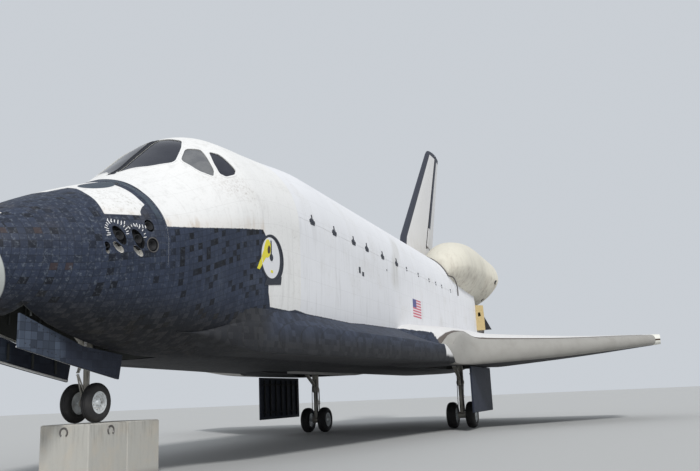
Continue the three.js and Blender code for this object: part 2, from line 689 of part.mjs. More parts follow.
let wing = wholeWing.subtract(carbonRegion(SEAM));
const COVE = 0.4;
const ELEVON_COVE_SCALE = 1.1;
for (const [name, inner, outer] of ELEVONS) {
  const [low, high] = [inner - COVE, outer + COVE];
  wing = wing
    .subtract(elevonBlock(low, high, -0.2))
    .subtract(hingeRoll(low, high, ELEVON_COVE_SCALE, COVE));
  const roll = hingeRoll(inner, outer, 1, -0.02)
    .intersect(elevonBlock(inner, outer, -HINGE_ROLL_REACH))
    .intersect(box([everyX[0], ELEVON_HINGE_X + 0.5], everyY, everyZ));
  addPair(`elevon_${name}`, join(
    wholeWing.intersect(elevonBlock(inner, outer, 0)), roll), BLACK_TILE);
}
const MAIN_WELL = { x: [1038, 1197], y: [108.5, 180.5], top: 303 };
wing = wing.subtract(box(MAIN_WELL.x, MAIN_WELL.y, [everyZ[0], MAIN_WELL.top]));
addPair('wing', wing, WHITE_BLANKET);

// Body flap, turning on its round front edge
const FLAP = { x: 1532, z: 287, halfSpan: 120, radius: 8.5, tailX: 1611, tailHalf: 1.5 };
const flapOutline = [
  [FLAP.x, FLAP.z + FLAP.radius - 0.02], [FLAP.x, FLAP.z - FLAP.radius + 0.02],
  [FLAP.tailX, FLAP.z - FLAP.tailHalf], [FLAP.tailX, FLAP.z + FLAP.tailHalf],
];
addPart('body_flap', join(
  sidePrism(flapOutline, -FLAP.halfSpan, FLAP.halfSpan),
  bar(v3(FLAP.x, -FLAP.halfSpan, FLAP.z), v3(FLAP.x, FLAP.halfSpan, FLAP.z), FLAP.radius),
), BLACK_TILE);

// Vertical tail: wedge sections, thickest at the rudder's hinge line
const FIN_ROOT = { z: 500, leadingX: 1277, trailingX: 1545.6 };
const FIN_TIP = { z: FIN_TOP_Z, leadingX: 1592.7, trailingX: TAIL_X };
// Leading and trailing x of the tail at height z
function finEdges(z) {
  const share = (z - FIN_ROOT.z) / (FIN_TIP.z - FIN_ROOT.z);
  return [
    lerp(FIN_ROOT.leadingX, FIN_TIP.leadingX, share),
    lerp(FIN_ROOT.trailingX, FIN_TIP.trailingX, share),
  ];
}
// Share of the chord ahead of the rudder's hinge line, at FIN_ROOT and FIN_TIP
const HINGE_SHARE = [0.67, 0.6];
const HINGE_HALF = 0.05;
// Ahead of the hinge line and behind it: share of the way, half thickness as a share of the chord
const FIN_FRONT = [[0, 0.004], [0.033, 0.014], [0.167, 0.028], [0.5, 0.043]];
const FIN_BACK = [[0, HINGE_HALF], [1, 0.006]];
const hingeRootX = lerp(FIN_ROOT.leadingX, FIN_ROOT.trailingX, HINGE_SHARE[0]);
const hingeTipX = lerp(FIN_TIP.leadingX, FIN_TIP.trailingX, HINGE_SHARE[1]);
function rudderHinge(z) {
  const share = (z - FIN_ROOT.z) / (FIN_TIP.z - FIN_ROOT.z);
  return v3(lerp(hingeRootX, hingeTipX, share), 0, z);
}
// The leading edge steepens below FIN_HEEL_Z, to meet the body behind the payload bay doors
const FIN_HEEL_Z = 549;
const HEEL = { z: 503, slope: 0.4 };
const heelX = (z) => BAY_END_X + CLEARANCE + Math.max(0, z - HEEL.z) * HEEL.slope;
// Height and how far back the leading edge is there, round the tip's front corner
const FIN_CORNER = [
  [FIN_TOP_Z - 18, 0], [FIN_TOP_Z - 7, 4], [FIN_TOP_Z - 2, 11], [FIN_TOP_Z, 20],
];
function finRing([z, back]) {
  const [straightX, trailingX] = finEdges(z);
  const leadingX = Math.max(straightX, heelX(z)) + back;
  const hingeX = rudderHinge(z).x;
  const side = (sign) => [
    ...FIN_FRONT.map(([share, half]) => [lerp(leadingX, hingeX, share), half]),
    ...FIN_BACK.map(([share, half]) => [lerp(hingeX, trailingX, share), half]),
  ].map(([x, half]) => v3(x, sign * half * (trailingX - straightX), z));
  return [...side(1), ...side(-1).reverse()];
}
const wholeFin = toSolid(loft([[FIN_ROOT.z - 6, 0], [FIN_HEEL_Z, 0], ...FIN_CORNER].map(finRing)));
const finHalf = (z) => {
  const [leadingX, trailingX] = finEdges(z);
  return (trailingX - leadingX) * HINGE_HALF;
};
const POST_SHARE = 0.84;
// Room round the hinge line for the panels' front edges at full travel
const FIN_COVE_SHARE = 1.25;
// A panel's foot dips as it turns about the sloping hinge line
const RUDDER_FOOT_GAP = 3.2;
const COVE_CUP_DEPTH = 8;
function rudderCone(low, high, share, grow) {
  return bar(rudderHinge(low), rudderHinge(high),
    finHalf(low) * share + grow, finHalf(high) * share + grow, 24);
}
// Side-view area behind the hinge line, from a foot height up
function behindHinge(foot) {
  const [low, high] = [rudderHinge(foot), rudderHinge(FIN_TOP_Z + 20)];
  return sidePrism([
    [low.x, foot], [everyX[1], foot], [everyX[1], high.z], [high.x, high.z],
  ], ...everyY);
}
const RUDDER_TOP_Z = 811;
const coveRoom = box(everyX, everyY, [RUDDER_FOOT_Z - COVE_CUP_DEPTH, everyZ[1]]);
// Room over the upper engine, below the tail's overhang
const overEngine = sidePrism(
  [[BASE_X - 3, 480], [BASE_X - 3, 514], [1565, 530], [1565, 480]], -50, 50);
const finCove = rudderCone(RUDDER_FOOT_Z - 40, FIN_TOP_Z + 20, FIN_COVE_SHARE, 0);
addPart('vertical_tail', wholeFin
  .subtract(bodyWithSeam)
  .subtract(overEngine)
  .subtract(behindHinge(RUDDER_FOOT_Z - RUDDER_FOOT_GAP))
  .subtract(finCove.intersect(coveRoom)), WHITE_BLANKET);
const postSlab = box(everyX, everyY, [RUDDER_FOOT_Z + 0.5, RUDDER_TOP_Z]);
addPart('rudder_post',
  rudderCone(RUDDER_FOOT_Z - 20, FIN_TOP_Z + 20, POST_SHARE, 0).intersect(postSlab), BLACK_TILE);
const rudderPanel = wholeFin
  .intersect(behindHinge(RUDDER_FOOT_Z))
  .subtract(rudderCone(RUDDER_FOOT_Z - 40, FIN_TOP_Z + 20, POST_SHARE, COVE))
  .intersect(box(everyX, [CLEARANCE / 2, everyY[1]], everyZ));
addPair('rudder_panel', rudderPanel, WHITE_BLANKET);

// Landing gear

// Tyre section: distance from the wheel's middle along the axle, radius, as shares
const TYRE_SECTION = [
  [-0.36, 0.5], [-0.49, 0.63], [-0.5, 0.78], [-0.38, 0.93], [-0.15, 1],
  [0.15, 1], [0.38, 0.93], [0.5, 0.78], [0.49, 0.63], [0.36, 0.5], [-0.36, 0.5],
];
const WHEEL_SEGMENTS = 24;
const flatDown = Math.PI / WHEEL_SEGMENTS;
const flatToCorner = 1 / Math.cos(Math.PI / WHEEL_SEGMENTS);
function tyre(x, y, z, radius, width) {
  const profile = TYRE_SECTION.map(([share, r]) => [share * width, r * radius]);
  return turned(profile, v3(x, y, z), v3(0, 1, 0), WHEEL_SEGMENTS, flatDown);
}
// Rims on one axle, at offset either side of y
function hubs(x, y, z, radius, width, offset, axleRadius) {
  const rimRadius = radius * 0.5 * Math.cos(Math.PI / WHEEL_SEGMENTS) - SEAM * 2;
  const rim = (middle, sign) => turned([
    [-0.3 * width * sign, 0], [-0.3 * width * sign, rimRadius], [0.34 * width * sign, rimRadius],
    [0.34 * width * sign, rimRadius * 0.86], [0.14 * width * sign, rimRadius * 0.7],
    [0.14 * width * sign, rimRadius * 0.34], [0.38 * width * sign, rimRadius * 0.28],
    [0.38 * width * sign, 0],
  ], v3(x, middle, z), v3(0, 1, 0), WHEEL_SEGMENTS, flatDown);
  return join(rim(y - offset, -1), rim(y + offset, 1),
    bar(v3(x, y - offset, z), v3(x, y + offset, z), axleRadius));
}

const NOSE_TYRE = { width: 8.8, offset: 10.2, axle: 2 };
for (const [side, sign] of [['port', -1], ['starboard', 1]]) {
  addPart(`nose_tyre_${side}`, tyre(
    NOSE_GEAR_X, sign * NOSE_TYRE.offset, NOSE_AXLE_Z, NOSE_TYRE_RADIUS, NOSE_TYRE.width,
  ), TYRE_RUBBER);
}
addPart('nose_wheel_hubs', hubs(
  NOSE_GEAR_X, 0, NOSE_AXLE_Z, NOSE_TYRE_RADIUS, NOSE_TYRE.width, NOSE_TYRE.offset, NOSE_TYRE.axle,
), WHEEL_METAL);

// Bar across the craft at x and z, reaching half either side of y
const crossBar = (x, y, z, half, radius) => bar(v3(x, y - half, z), v3(x, y + half, z), radius);

// Steered lower leg: piston, axle collar and the lug of the towing link
const NOSE_FORK = { topZ: 261, radius: 2.6, collarHalf: 4.2, collarRadius: 3.8 };
const TOW_LUG = { x: [1, 7], y: [-2, 2], z: [6, 10] };
addPart('nose_gear_fork', join(
  bar(v3(NOSE_GEAR_X, 0, NOSE_AXLE_Z), v3(NOSE_GEAR_X, 0, NOSE_FORK.topZ), NOSE_FORK.radius),
  crossBar(NOSE_GEAR_X, 0, NOSE_AXLE_Z, NOSE_FORK.collarHalf, NOSE_FORK.collarRadius),
  box(TOW_LUG.x.map((x) => NOSE_GEAR_X + x), TOW_LUG.y, TOW_LUG.z.map((z) => NOSE_AXLE_Z + z)),
).subtract(crossBar(
  NOSE_GEAR_X, 0, NOSE_AXLE_Z, NOSE_FORK.collarHalf * 2, NOSE_TYRE.axle + CLEARANCE)), GEAR_METAL);
// Fixed upper leg with its trunnion, and a drag brace up to a cross bar further forward
const NOSE_LEG = { topZ: 322, radius: 4.2, trunnionZ: 318, trunnionRadius: 3 };
const NOSE_BRACE = { fromZ: 272, toX: 322, toZ: 320, radius: 2.2, barRadius: 2 };
const noseWallReach = WELL.y[1] - 0.1;
addPart('nose_gear_leg', join(
  bar(v3(NOSE_GEAR_X, 0, NOSE_FORK.topZ + CLEARANCE), v3(NOSE_GEAR_X, 0, NOSE_LEG.topZ),
    NOSE_LEG.radius),
  crossBar(NOSE_GEAR_X, 0, NOSE_LEG.trunnionZ, noseWallReach, NOSE_LEG.trunnionRadius),
  bar(v3(NOSE_GEAR_X, 0, NOSE_BRACE.fromZ), v3(NOSE_BRACE.toX, 0, NOSE_BRACE.toZ),
    NOSE_BRACE.radius),
  crossBar(NOSE_BRACE.toX, 0, NOSE_BRACE.toZ, noseWallReach, NOSE_BRACE.barRadius),
), GEAR_METAL);

const MAIN_TYRE = { width: 16, offset: 16.5, axle: 3 };
const mainTyreReach = MAIN_TYRE_RADIUS * flatToCorner;
for (const [place, offset] of [['inner', -MAIN_TYRE.offset], ['outer', MAIN_TYRE.offset]]) {
  addPair(`main_tyre_${place}`, tyre(
    MAIN_GEAR_X, MAIN_GEAR_Y + offset, MAIN_AXLE_Z, mainTyreReach, MAIN_TYRE.width,
  ), TYRE_RUBBER);
}
addPair('main_wheel_hubs', hubs(
  MAIN_GEAR_X, MAIN_GEAR_Y, MAIN_AXLE_Z, mainTyreReach, MAIN_TYRE.width, MAIN_TYRE.offset,
  MAIN_TYRE.axle,
), WHEEL_METAL);
// Piston, sleeve, axle collar, and a drag brace up to a cross bar further forward
const MAIN_LEG = { pistonZ: 240, pistonRadius: 4, sleeveZ: 238, sleeveRadius: 6 };
const MAIN_COLLAR = { half: 6.5, radius: 5.4 };
const MAIN_BRACE = { fromZ: 248, toX: 1092, toZ: 292, radius: 3.2, barRadius: 3 };
const mainLegAt = (z) => v3(MAIN_GEAR_X, MAIN_GEAR_Y, z);
const [wellIn, wellOut] = MAIN_WELL.y;
addPair('main_gear_leg', join(
  bar(mainLegAt(MAIN_AXLE_Z), mainLegAt(MAIN_LEG.pistonZ), MAIN_LEG.pistonRadius),
  bar(mainLegAt(MAIN_LEG.sleeveZ), mainLegAt(MAIN_WELL.top - 0.1), MAIN_LEG.sleeveRadius),
  crossBar(MAIN_GEAR_X, MAIN_GEAR_Y, MAIN_AXLE_Z, MAIN_COLLAR.half, MAIN_COLLAR.radius),
  bar(mainLegAt(MAIN_BRACE.fromZ), v3(MAIN_BRACE.toX, MAIN_GEAR_Y, MAIN_BRACE.toZ),
    MAIN_BRACE.radius),
  crossBar(MAIN_BRACE.toX, (wellIn + wellOut) / 2, MAIN_BRACE.toZ, (wellOut - wellIn) / 2 - 0.1,
    MAIN_BRACE.barRadius),
).subtract(crossBar(
  MAIN_GEAR_X, MAIN_GEAR_Y, MAIN_AXLE_Z, MAIN_COLLAR.half + 3, MAIN_TYRE.axle + CLEARANCE,
)), GEAR_METAL);

// Gear doors, hanging open
const MAIN_DOOR = { x: [1038, 1196], y: [181.5, 184.5], z: [195, 266] };
addPair('main_gear_door', box(MAIN_DOOR.x, MAIN_DOOR.y, MAIN_DOOR.z), BLACK_TILE);
const NOSE_DOOR_OUTLINE = [
  [273, 293], [300, 284.5], [340, 273], [388, 268], [384, 248], [340, 256], [273, 269],
];
const NOSE_DOOR_Y = [25, 27.4];
addPair('nose_gear_door', sidePrism(NOSE_DOOR_OUTLINE, ...NOSE_DOOR_Y), BLACK_TILE);

// Concrete blocks under the nose wheels
const BLOCK_HALF = 24;
const BLOCKS = [['front', [352.5, 400.5]], ['rear', [400.7, 446]]];
for (const [place, span] of BLOCKS) {
  addPart(`concrete_block_${place}`, box(span, [-BLOCK_HALF, BLOCK_HALF], [GROUND_Z, BLOCK_TOP_Z]), CONCRETE);
}

export default orbiter;
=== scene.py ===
"""Looks of a full-size winged orbiter, parked on its landing gear, its nose wheels on blocks.

Shapes are worked out in the craft's own station frame, in inches: X grows towards the tail, Y
towards starboard and Z up. to_row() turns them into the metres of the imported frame.
"""

import logging
import math
from dataclasses import dataclass
from enum import Enum
from typing import Callable, Optional, Sequence, Union

import bmesh
import bpy
import numpy as np
from mathutils import Matrix, Vector

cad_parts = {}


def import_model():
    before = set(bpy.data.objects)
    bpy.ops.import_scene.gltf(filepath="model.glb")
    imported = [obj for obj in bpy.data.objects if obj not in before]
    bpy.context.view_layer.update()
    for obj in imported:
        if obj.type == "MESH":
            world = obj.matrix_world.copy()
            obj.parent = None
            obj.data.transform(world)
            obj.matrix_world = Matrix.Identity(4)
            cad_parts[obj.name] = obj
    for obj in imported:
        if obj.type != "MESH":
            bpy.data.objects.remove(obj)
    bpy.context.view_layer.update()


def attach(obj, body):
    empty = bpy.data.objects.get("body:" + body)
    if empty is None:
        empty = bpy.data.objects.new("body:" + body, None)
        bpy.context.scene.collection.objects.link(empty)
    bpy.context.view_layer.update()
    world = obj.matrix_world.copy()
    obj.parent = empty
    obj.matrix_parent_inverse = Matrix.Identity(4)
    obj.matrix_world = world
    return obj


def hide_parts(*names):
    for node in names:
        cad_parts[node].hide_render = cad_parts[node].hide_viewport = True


LOG = logging.getLogger("orbiter")

INCH = 0.0254
MID_X = 968.25
GROUND_Z = 167.0
ORIGIN = (MID_X, 0.0, GROUND_Z)
WIDE = 2500.0
UV_NAME = "UVMap"
SHARP_ANGLE = math.radians(32.0)

Array = np.ndarray
Numbers = Sequence[float]
Rows = Sequence[Numbers]
Piece = bpy.types.Object
Mesh = bpy.types.Mesh
Material = bpy.types.Material
Rule = Callable[[Array, Array], Array]


class Side(Enum):
    """The two sides of the craft, with the sign that Y has there."""

    PORT = -1
    STARBOARD = 1

    @property
    def word(self) -> str:
        """The side's name as the pieces spell it."""
        return self.name.lower()


# Points and curves


def to_row(points: Array) -> Array:
    """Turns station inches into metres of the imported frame, on the ground below the middle."""
    return (np.asarray(points, float) - ORIGIN) * INCH


def smooth_read(rows: Rows, xs: Numbers) -> Array:
    """Reads a table with a monotone cubic through its rows.

    Args:
        rows: rows of x and the values there, with x growing.
        xs: where to read.

    Returns:
        One row of values for each x.
    """
    table, at = np.asarray(rows, float), np.asarray(xs, float)
    x, y = table[:, 0], table[:, 1:]
    step = np.diff(x)[:, None]
    slope = np.diff(y, axis=0) / step
    tangent = np.zeros_like(y)
    near, far = 2 * step[1:] + step[:-1], step[1:] + 2 * step[:-1]
    with np.errstate(divide="ignore", invalid="ignore"):
        mean = (near + far) / (near / slope[:-1] + far / slope[1:])
    tangent[1:-1] = np.where(slope[:-1] * slope[1:] > 0, mean, 0.0)
    tangent[0], tangent[-1] = slope[0], slope[-1]
    row = np.clip(np.searchsorted(x, at, "right") - 1, 0, len(x) - 2)
    t = np.clip((at - x[row]) / step[row, 0], 0, 1)[:, None]
    return ((1 + 2 * t) * (1 - t) ** 2 * y[row] + t * (1 - t) ** 2 * step[row] * tangent[row]
            + t * t * (3 - 2 * t) * y[row + 1] + t * t * (t - 1) * step[row] * tangent[row + 1])


def spread(low: float, high: float, step: float) -> Array:
    """Evenly spaced numbers from low to high, about step apart."""
    return np.linspace(low, high, max(2, int(round((high - low) / step)) + 1))


def unit(vector: Numbers) -> Array:
    """The vector at length one."""
    v = np.asarray(vector, float)
    return v / np.linalg.norm(v)


def frame_of(direction: Numbers) -> tuple[Array, Array]:
    """Two directions square to the given one and to each other, the first level where it can be."""
    line = unit(direction)
    level = np.array((0.0, 0.0, 1.0)) if abs(line[2]) < 0.9 else np.array((1.0, 0.0, 0.0))
    first = unit(np.cross(level, line))
    return first, np.cross(line, first)


def circle(first: Array, second: Array, segments: int) -> Array:
    """Points round a circle of radius one in a plane, the last repeating the first."""
    angle = np.linspace(0, 2 * math.pi, segments + 1)
    return np.cos(angle)[:, None] * first + np.sin(angle)[:, None] * second


def lengths_along(table: Array) -> Array:
    """The length of a flat line up to each of its points."""
    return np.concatenate(((0.0,), np.cumsum(np.hypot(*np.diff(table, axis=0).T))))


def extruded(points: Rows, axis: int, at: float) -> Array:
    """Flat points in space: their two numbers, and one more at the place of the axis."""
    return np.insert(np.asarray(points, float), axis, at, axis=1)


def round_corners(corners: Rows, rounds: int = 2, share: float = 0.22) -> Array:
    """Cuts an outline's corners by a share of each side, again and again.

    Args:
        corners: the closed outline's corners.
        rounds: how many times to cut.
        share: how much of each side is cut at either end.

    Returns:
        The rounded outline.
    """
    points = np.asarray(corners, float)
    for _ in range(rounds):
        following = np.roll(points, -1, axis=0)
        cut = np.stack((points + (following - points) * share, following + (points - following) * share), 1)
        points = cut.reshape(-1, points.shape[1])
    return points


# Meshes


class Draft:
    """A mesh that is being put together, in station inches, with a UV for each face corner.

    Every method that adds or moves something gives the draft back, so that calls can follow.
    """

    def __init__(self) -> None:
        """Starts with nothing in it."""
        self.points: list[Array] = []
        self.faces: list[list[int]] = []
        self.uvs: list[tuple[float, float]] = []
        self.count = 0

    def _take(self, points: Array, faces: Array, uv: Optional[Array]) -> "Draft":
        """Adds points, and faces that count from the first of them."""
        self.points.append(points)
        self.faces.extend((faces + self.count).tolist())
        flat = np.zeros((len(points), 2)) if uv is None else uv.reshape(-1, 2)
        self.uvs.extend(map(tuple, flat[faces.ravel()].tolist()))
        self.count += len(points)
        return self

    def grid(self, points: Array, uv: Optional[Array] = None) -> "Draft":
        """Adds a surface through a grid of points.

        Args:
            points: rows of columns of points.
            uv: the UV of each point, in metres.

        Returns:
            The draft itself.
        """
        rows, cols = points.shape[:2]
        i = (np.arange(rows - 1)[:, None] * cols + np.arange(cols - 1)).ravel()
        return self._take(points.reshape(-1, 3), np.stack((i, i + 1, i + cols + 1, i + cols), 1), uv)

    def loft(self, rings: Array, uv: Optional[Array] = None) -> "Draft":
        """Adds a closed skin through rings whose last point repeats the first.

        Args:
            rings: rows of ring points.
            uv: the UV of each point.

        Returns:
            The draft itself.
        """
        self.grid(rings, uv)
        for row in (0, -1):
            ring = rings[row, :-1]
            self._take(ring, np.arange(len(ring))[None], None if uv is None else uv[row, :-1])
        return self

    def sheet(self, outer: Array, inner: Array) -> "Draft":
        """Adds a closed thick sheet between two grids of the same size.

        Args:
            outer: the outer face's points.
            inner: the inner face's points.

        Returns:
            The draft itself.
        """
        self.grid(outer).grid(inner)
        for rim in (np.s_[0, :], np.s_[-1, :], np.s_[:, 0], np.s_[:, -1]):
            self.grid(np.stack((outer[rim], inner[rim])))
        return self

    def turned(self, profile: Rows, start: Numbers, line: Numbers, segments: int = 48) -> "Draft":
        """Adds a turned shape. An end whose radius is above zero is closed flat.

        Args:
            profile: distance along the line and radius, point by point.
            start: where the line starts.
            line: its direction.
            segments: sides round the shape.

        Returns:
            The draft itself.
        """
        table = np.asarray(profile, float)
        angle = np.linspace(0, 2 * math.pi, segments + 1)
        rings = (np.asarray(start, float) + table[:, 0, None, None] * unit(line)
                 + table[:, 1, None, None] * circle(*frame_of(line), segments)[None])
        around = angle[None] * table[:, 1].max()
        return self.loft(rings, np.stack(np.broadcast_arrays(lengths_along(table)[:, None], around), -1) * INCH)

    def rod(self, a: Numbers, b: Numbers, radius: float, end: Optional[float] = None,
            segments: int = 32, edge: float = 0.3) -> "Draft":
        """Adds a round bar or cone with softened ends.

        Args:
            a: one end's middle.
            b: the other end's middle.
            radius: radius at a.
            end: radius at b, the same where it isn't given.
            segments: sides round the bar.
            edge: how far the ends are rounded.

        Returns:
            The draft itself.
        """
        last = radius if end is None else end
        a, b = np.asarray(a, float), np.asarray(b, float)
        length = float(np.linalg.norm(b - a))
        soft = min(edge, radius * 0.5, last * 0.5, length * 0.3)
        profile = [
            (0, radius - soft), (soft * 0.3, radius - soft * 0.3), (soft, radius),
            (length - soft, last), (length - soft * 0.3, last - soft * 0.3), (length, last - soft),
        ]
        return self.turned(profile, a, b - a, segments)

    def rods(self, rows: Sequence[tuple], segments: int = 32) -> "Draft":
        """Adds a bar for each row of one end, the other end and the radius."""
        for a, b, radius in rows:
            self.rod(a, b, radius, segments=segments)
        return self

    def pipe(self, path: Rows, radius: float, segments: int = 10) -> "Draft":
        """Adds a round pipe along a path.

        Args:
            path: the points it follows.
            radius: its radius.
            segments: sides round the pipe.

        Returns:
            The draft itself.
        """
        points = np.asarray(path, float)
        ways = np.gradient(points, axis=0)
        first, _ = frame_of(ways[0])
        rings = []
        for point, way in zip(points, ways):
            way = unit(way)
            first = unit(first - way * np.dot(first, way))
            rings.append(point + radius * circle(first, np.cross(way, first), segments))
        return self.loft(np.array(rings))

    def block(self, low: Numbers, high: Numbers, bevel: float = 0.0) -> "Draft":
        """Adds a box with chamfered upright and level edges.

        Args:
            low: lowest corner.
            high: highest corner.
            bevel: the chamfer.

        Returns:
            The draft itself.
        """
        low, high = np.asarray(low, float), np.asarray(high, float)
        middle, half = (low + high) / 2, (high - low) / 2
        c = max(min(bevel, *(half * 0.45)), 0.0)
        levels = [(-1, c), (-1 + c / half[2], 0.0), (1 - c / half[2], 0.0), (1, c)] if c else [(-1, 0), (1, 0)]
        rings = []
        for height, inset in levels:
            w, d = half[0] - inset, half[1] - inset
            corners = [(w, d - c), (w - c, d), (c - w, d), (-w, d - c), (-w, c - d), (c - w, -d),
                       (w - c, -d), (w, c - d)] if c else [(w, d), (-w, d), (-w, -d), (w, -d)]
            rings.append([(x, y, height * half[2]) for x, y in (*corners, corners[0])])
        return self.loft(np.array(rings) + middle)

    def prism(self, outline: Array, way: Numbers, bevel: float = 0.0) -> "Draft":
        """Adds a solid between an outline and the same outline moved along way.

        Args:
            outline: points of the closed outline, not repeated.
            way: from the first face to the second.
            bevel: how far the faces' edges are drawn in.

        Returns:
            The draft itself.
        """
        ring, way = np.asarray(outline, float), np.asarray(way, float)
        middle = ring.mean(axis=0)
        ring = np.vstack((ring, ring[:1]))
        if bevel <= 0:
            return self.loft(np.stack((ring, ring + way)))
        out = ring - middle
        length = np.linalg.norm(out, axis=1, keepdims=True)
        inner = middle + out * np.maximum(length - bevel, 0) / length
        soft = unit(way) * bevel
        return self.loft(np.stack((inner, ring + soft, ring + way - soft, inner + way)))

    def mirrored(self, side: Side) -> "Draft":
        """Moves what is drawn to the given side; it is drawn to starboard."""
        if side is Side.PORT:
            self.points = [p * (1.0, -1.0, 1.0) for p in self.points]
        return self

    def build(self, name: str) -> Piece:
        """Makes the mesh object: doubles merged, faces outwards, smooth below the sharp angle.

        Args:
            name: the piece's name.

        Returns:
            The new object, at the origin, with its place in its mesh.
        """
        mesh = bpy.data.meshes.new(name)
        mesh.from_pydata(to_row(np.vstack(self.points)), [], self.faces)
        mesh.uv_layers.new(name=UV_NAME).data.foreach_set("uv", np.asarray(self.uvs, np.float32).ravel())
        return settled(shown(name, mesh), turn=True)


def shown(name: str, mesh: Mesh) -> Piece:
    """A new object in the scene with the given mesh."""
    piece = bpy.data.objects.new(name, mesh)
    bpy.context.scene.collection.objects.link(piece)
    return piece


def settled(piece: Piece, turn: bool = False) -> Piece:
    """Merges doubles, removes slivers and shades the piece smooth up to the sharp angle.

    Args:
        piece: the piece to tidy.
        turn: also turns its faces outwards.

    Returns:
        The piece itself.
    """
    mesh, work = piece.data, bmesh.new()
    work.from_mesh(mesh)
    bmesh.ops.remove_doubles(work, verts=work.verts, dist=2e-5)
    bmesh.ops.dissolve_degenerate(work, edges=work.edges, dist=1e-6)
    if turn:
        bmesh.ops.recalc_face_normals(work, faces=work.faces)
    work.to_mesh(mesh)
    work.free()
    mesh.polygons.foreach_set("use_smooth", np.ones(len(mesh.polygons), bool))
    mesh.set_sharp_from_angle(angle=SHARP_ANGLE)
    return piece


def flattened(piece: Piece) -> Piece:
    """Applies every modifier of a piece to its mesh.

    Args:
        piece: the object whose modifiers are applied.

    Returns:
        The same object, with none left.
    """
    graph = bpy.context.evaluated_depsgraph_get()
    mesh = bpy.data.meshes.new_from_object(piece.evaluated_get(graph))
    piece.modifiers.clear()
    old, piece.data = piece.data, mesh
    name = old.name
    bpy.data.meshes.remove(old)
    mesh.name = name
    return piece


def scrapped(*pieces: Piece) -> None:
    """Removes objects that were only tools."""
    for piece in pieces:
        bpy.data.objects.remove(piece)


class Cut(Enum):
    """Ways to combine two solids."""

    AWAY = "DIFFERENCE"
    COMMON = "INTERSECT"
    TOGETHER = "UNION"


def carve(piece: Piece, how: Cut, *tools: Union[Draft, Piece]) -> Piece:
    """Combines a piece with one tool after another.

    Args:
        piece: the piece to change.
        how: what each tool does to it.
        tools: drafts, which are used up, or objects, which stay.

    Returns:
        The piece itself.
    """
    for tool in tools:
        other = tool.build("tool") if isinstance(tool, Draft) else tool
        cut = piece.modifiers.new("cut", "BOOLEAN")
        cut.solver, cut.operation, cut.object = "MANIFOLD", how.value, other
        flattened(piece)
        if isinstance(tool, Draft):
            scrapped(other)
    return piece


def copied(piece: Piece, name: str) -> Piece:
    """A second object with its own copy of a piece's mesh."""
    return shown(name, piece.data.copy())


def joined(name: str, pieces: Sequence[Piece]) -> Piece:
    """Joins pieces into one mesh, each keeping its materials.

    Args:
        name: the joined piece's name.
        pieces: what is joined; they are used up.

    Returns:
        The joined piece.
    """
    work, materials = bmesh.new(), []
    for piece in pieces:
        before = len(work.faces)
        work.from_mesh(piece.data)
        work.faces.ensure_lookup_table()
        for face in work.faces[before:]:
            face.material_index += len(materials)
        materials.extend(piece.data.materials)
    mesh = bpy.data.meshes.new(name)
    work.to_mesh(mesh)
    work.free()
    for material in materials:
        mesh.materials.append(material)
    scrapped(*pieces)
    return shown(name, mesh)


def dressed(piece: Piece, *materials: Material) -> Piece:
    """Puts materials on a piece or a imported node, the first for faces that name no other."""
    piece.data.materials.clear()
    for material in materials:
        piece.data.materials.append(material)
    return piece


def painted(piece: Piece, rule: Rule) -> Piece:
    """Gives each face the material that a rule names.

    Args:
        piece: the piece to paint.
        rule: takes face middles in station inches and face normals, returns material numbers.

    Returns:
        The piece itself.
    """
    faces = piece.data.polygons
    middle, normal = np.empty(len(faces) * 3), np.empty(len(faces) * 3)
    faces.foreach_get("center", middle)
    faces.foreach_get("normal", normal)
    places = middle.reshape(-1, 3) / INCH + ORIGIN
    faces.foreach_set("material_index", rule(places, normal.reshape(-1, 3)).astype(np.int32))
    return piece


def fitted(piece: Piece, slot: str, *nodes: str, body: str = "airframe") -> Piece:
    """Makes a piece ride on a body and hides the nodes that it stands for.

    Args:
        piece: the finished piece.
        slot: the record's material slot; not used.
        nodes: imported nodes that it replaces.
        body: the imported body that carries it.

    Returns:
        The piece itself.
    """
    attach(piece, body)
    if nodes:
        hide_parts(*nodes)
    LOG.info("%s: %d faces", piece.name, len(piece.data.polygons))
    return piece


def finished(shape: Union[Draft, Piece], looks: Union[Material, Sequence[Material]], slot: str, *nodes: str,
             name: str = "", body: str = "airframe", rule: Optional[Rule] = None) -> Piece:
    """Builds a draft or tidies a carved piece, dresses and paints it, and fits it.

    Args:
        shape: the draft or the piece.
        looks: its material or materials.
        slot: the record's material slot.
        nodes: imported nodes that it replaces.
        name: a draft's name, or else the first node's with _visual after it.
        body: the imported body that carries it.
        rule: names each face's material, as for painted().

    Returns:
        The piece.
    """
    drawn = isinstance(shape, Draft)
    piece = shape.build(name or f"{nodes[0]}_visual") if drawn else shape
    dressed(piece, *(looks if isinstance(looks, Sequence) else (looks,)))
    if rule:
        painted(piece, rule)
    return fitted(piece if drawn else settled(piece), slot, *nodes, body=body)


# Node trees

Tree = bpy.types.NodeTree
Socket = bpy.types.NodeSocket
Sockets = dict[str, Socket]
Value = Union[float, Numbers, Socket]
Draw = Callable[["Wiring", Sockets], Sockets]

SOCKET_KINDS = {
    "Geometry": "NodeSocketGeometry", "Material": "NodeSocketMaterial", "Sides": "NodeSocketInt",
    "Count": "NodeSocketInt", **dict.fromkeys(("Vector", "Place", "Plane", "Grain", "Step"), "NodeSocketVector")}


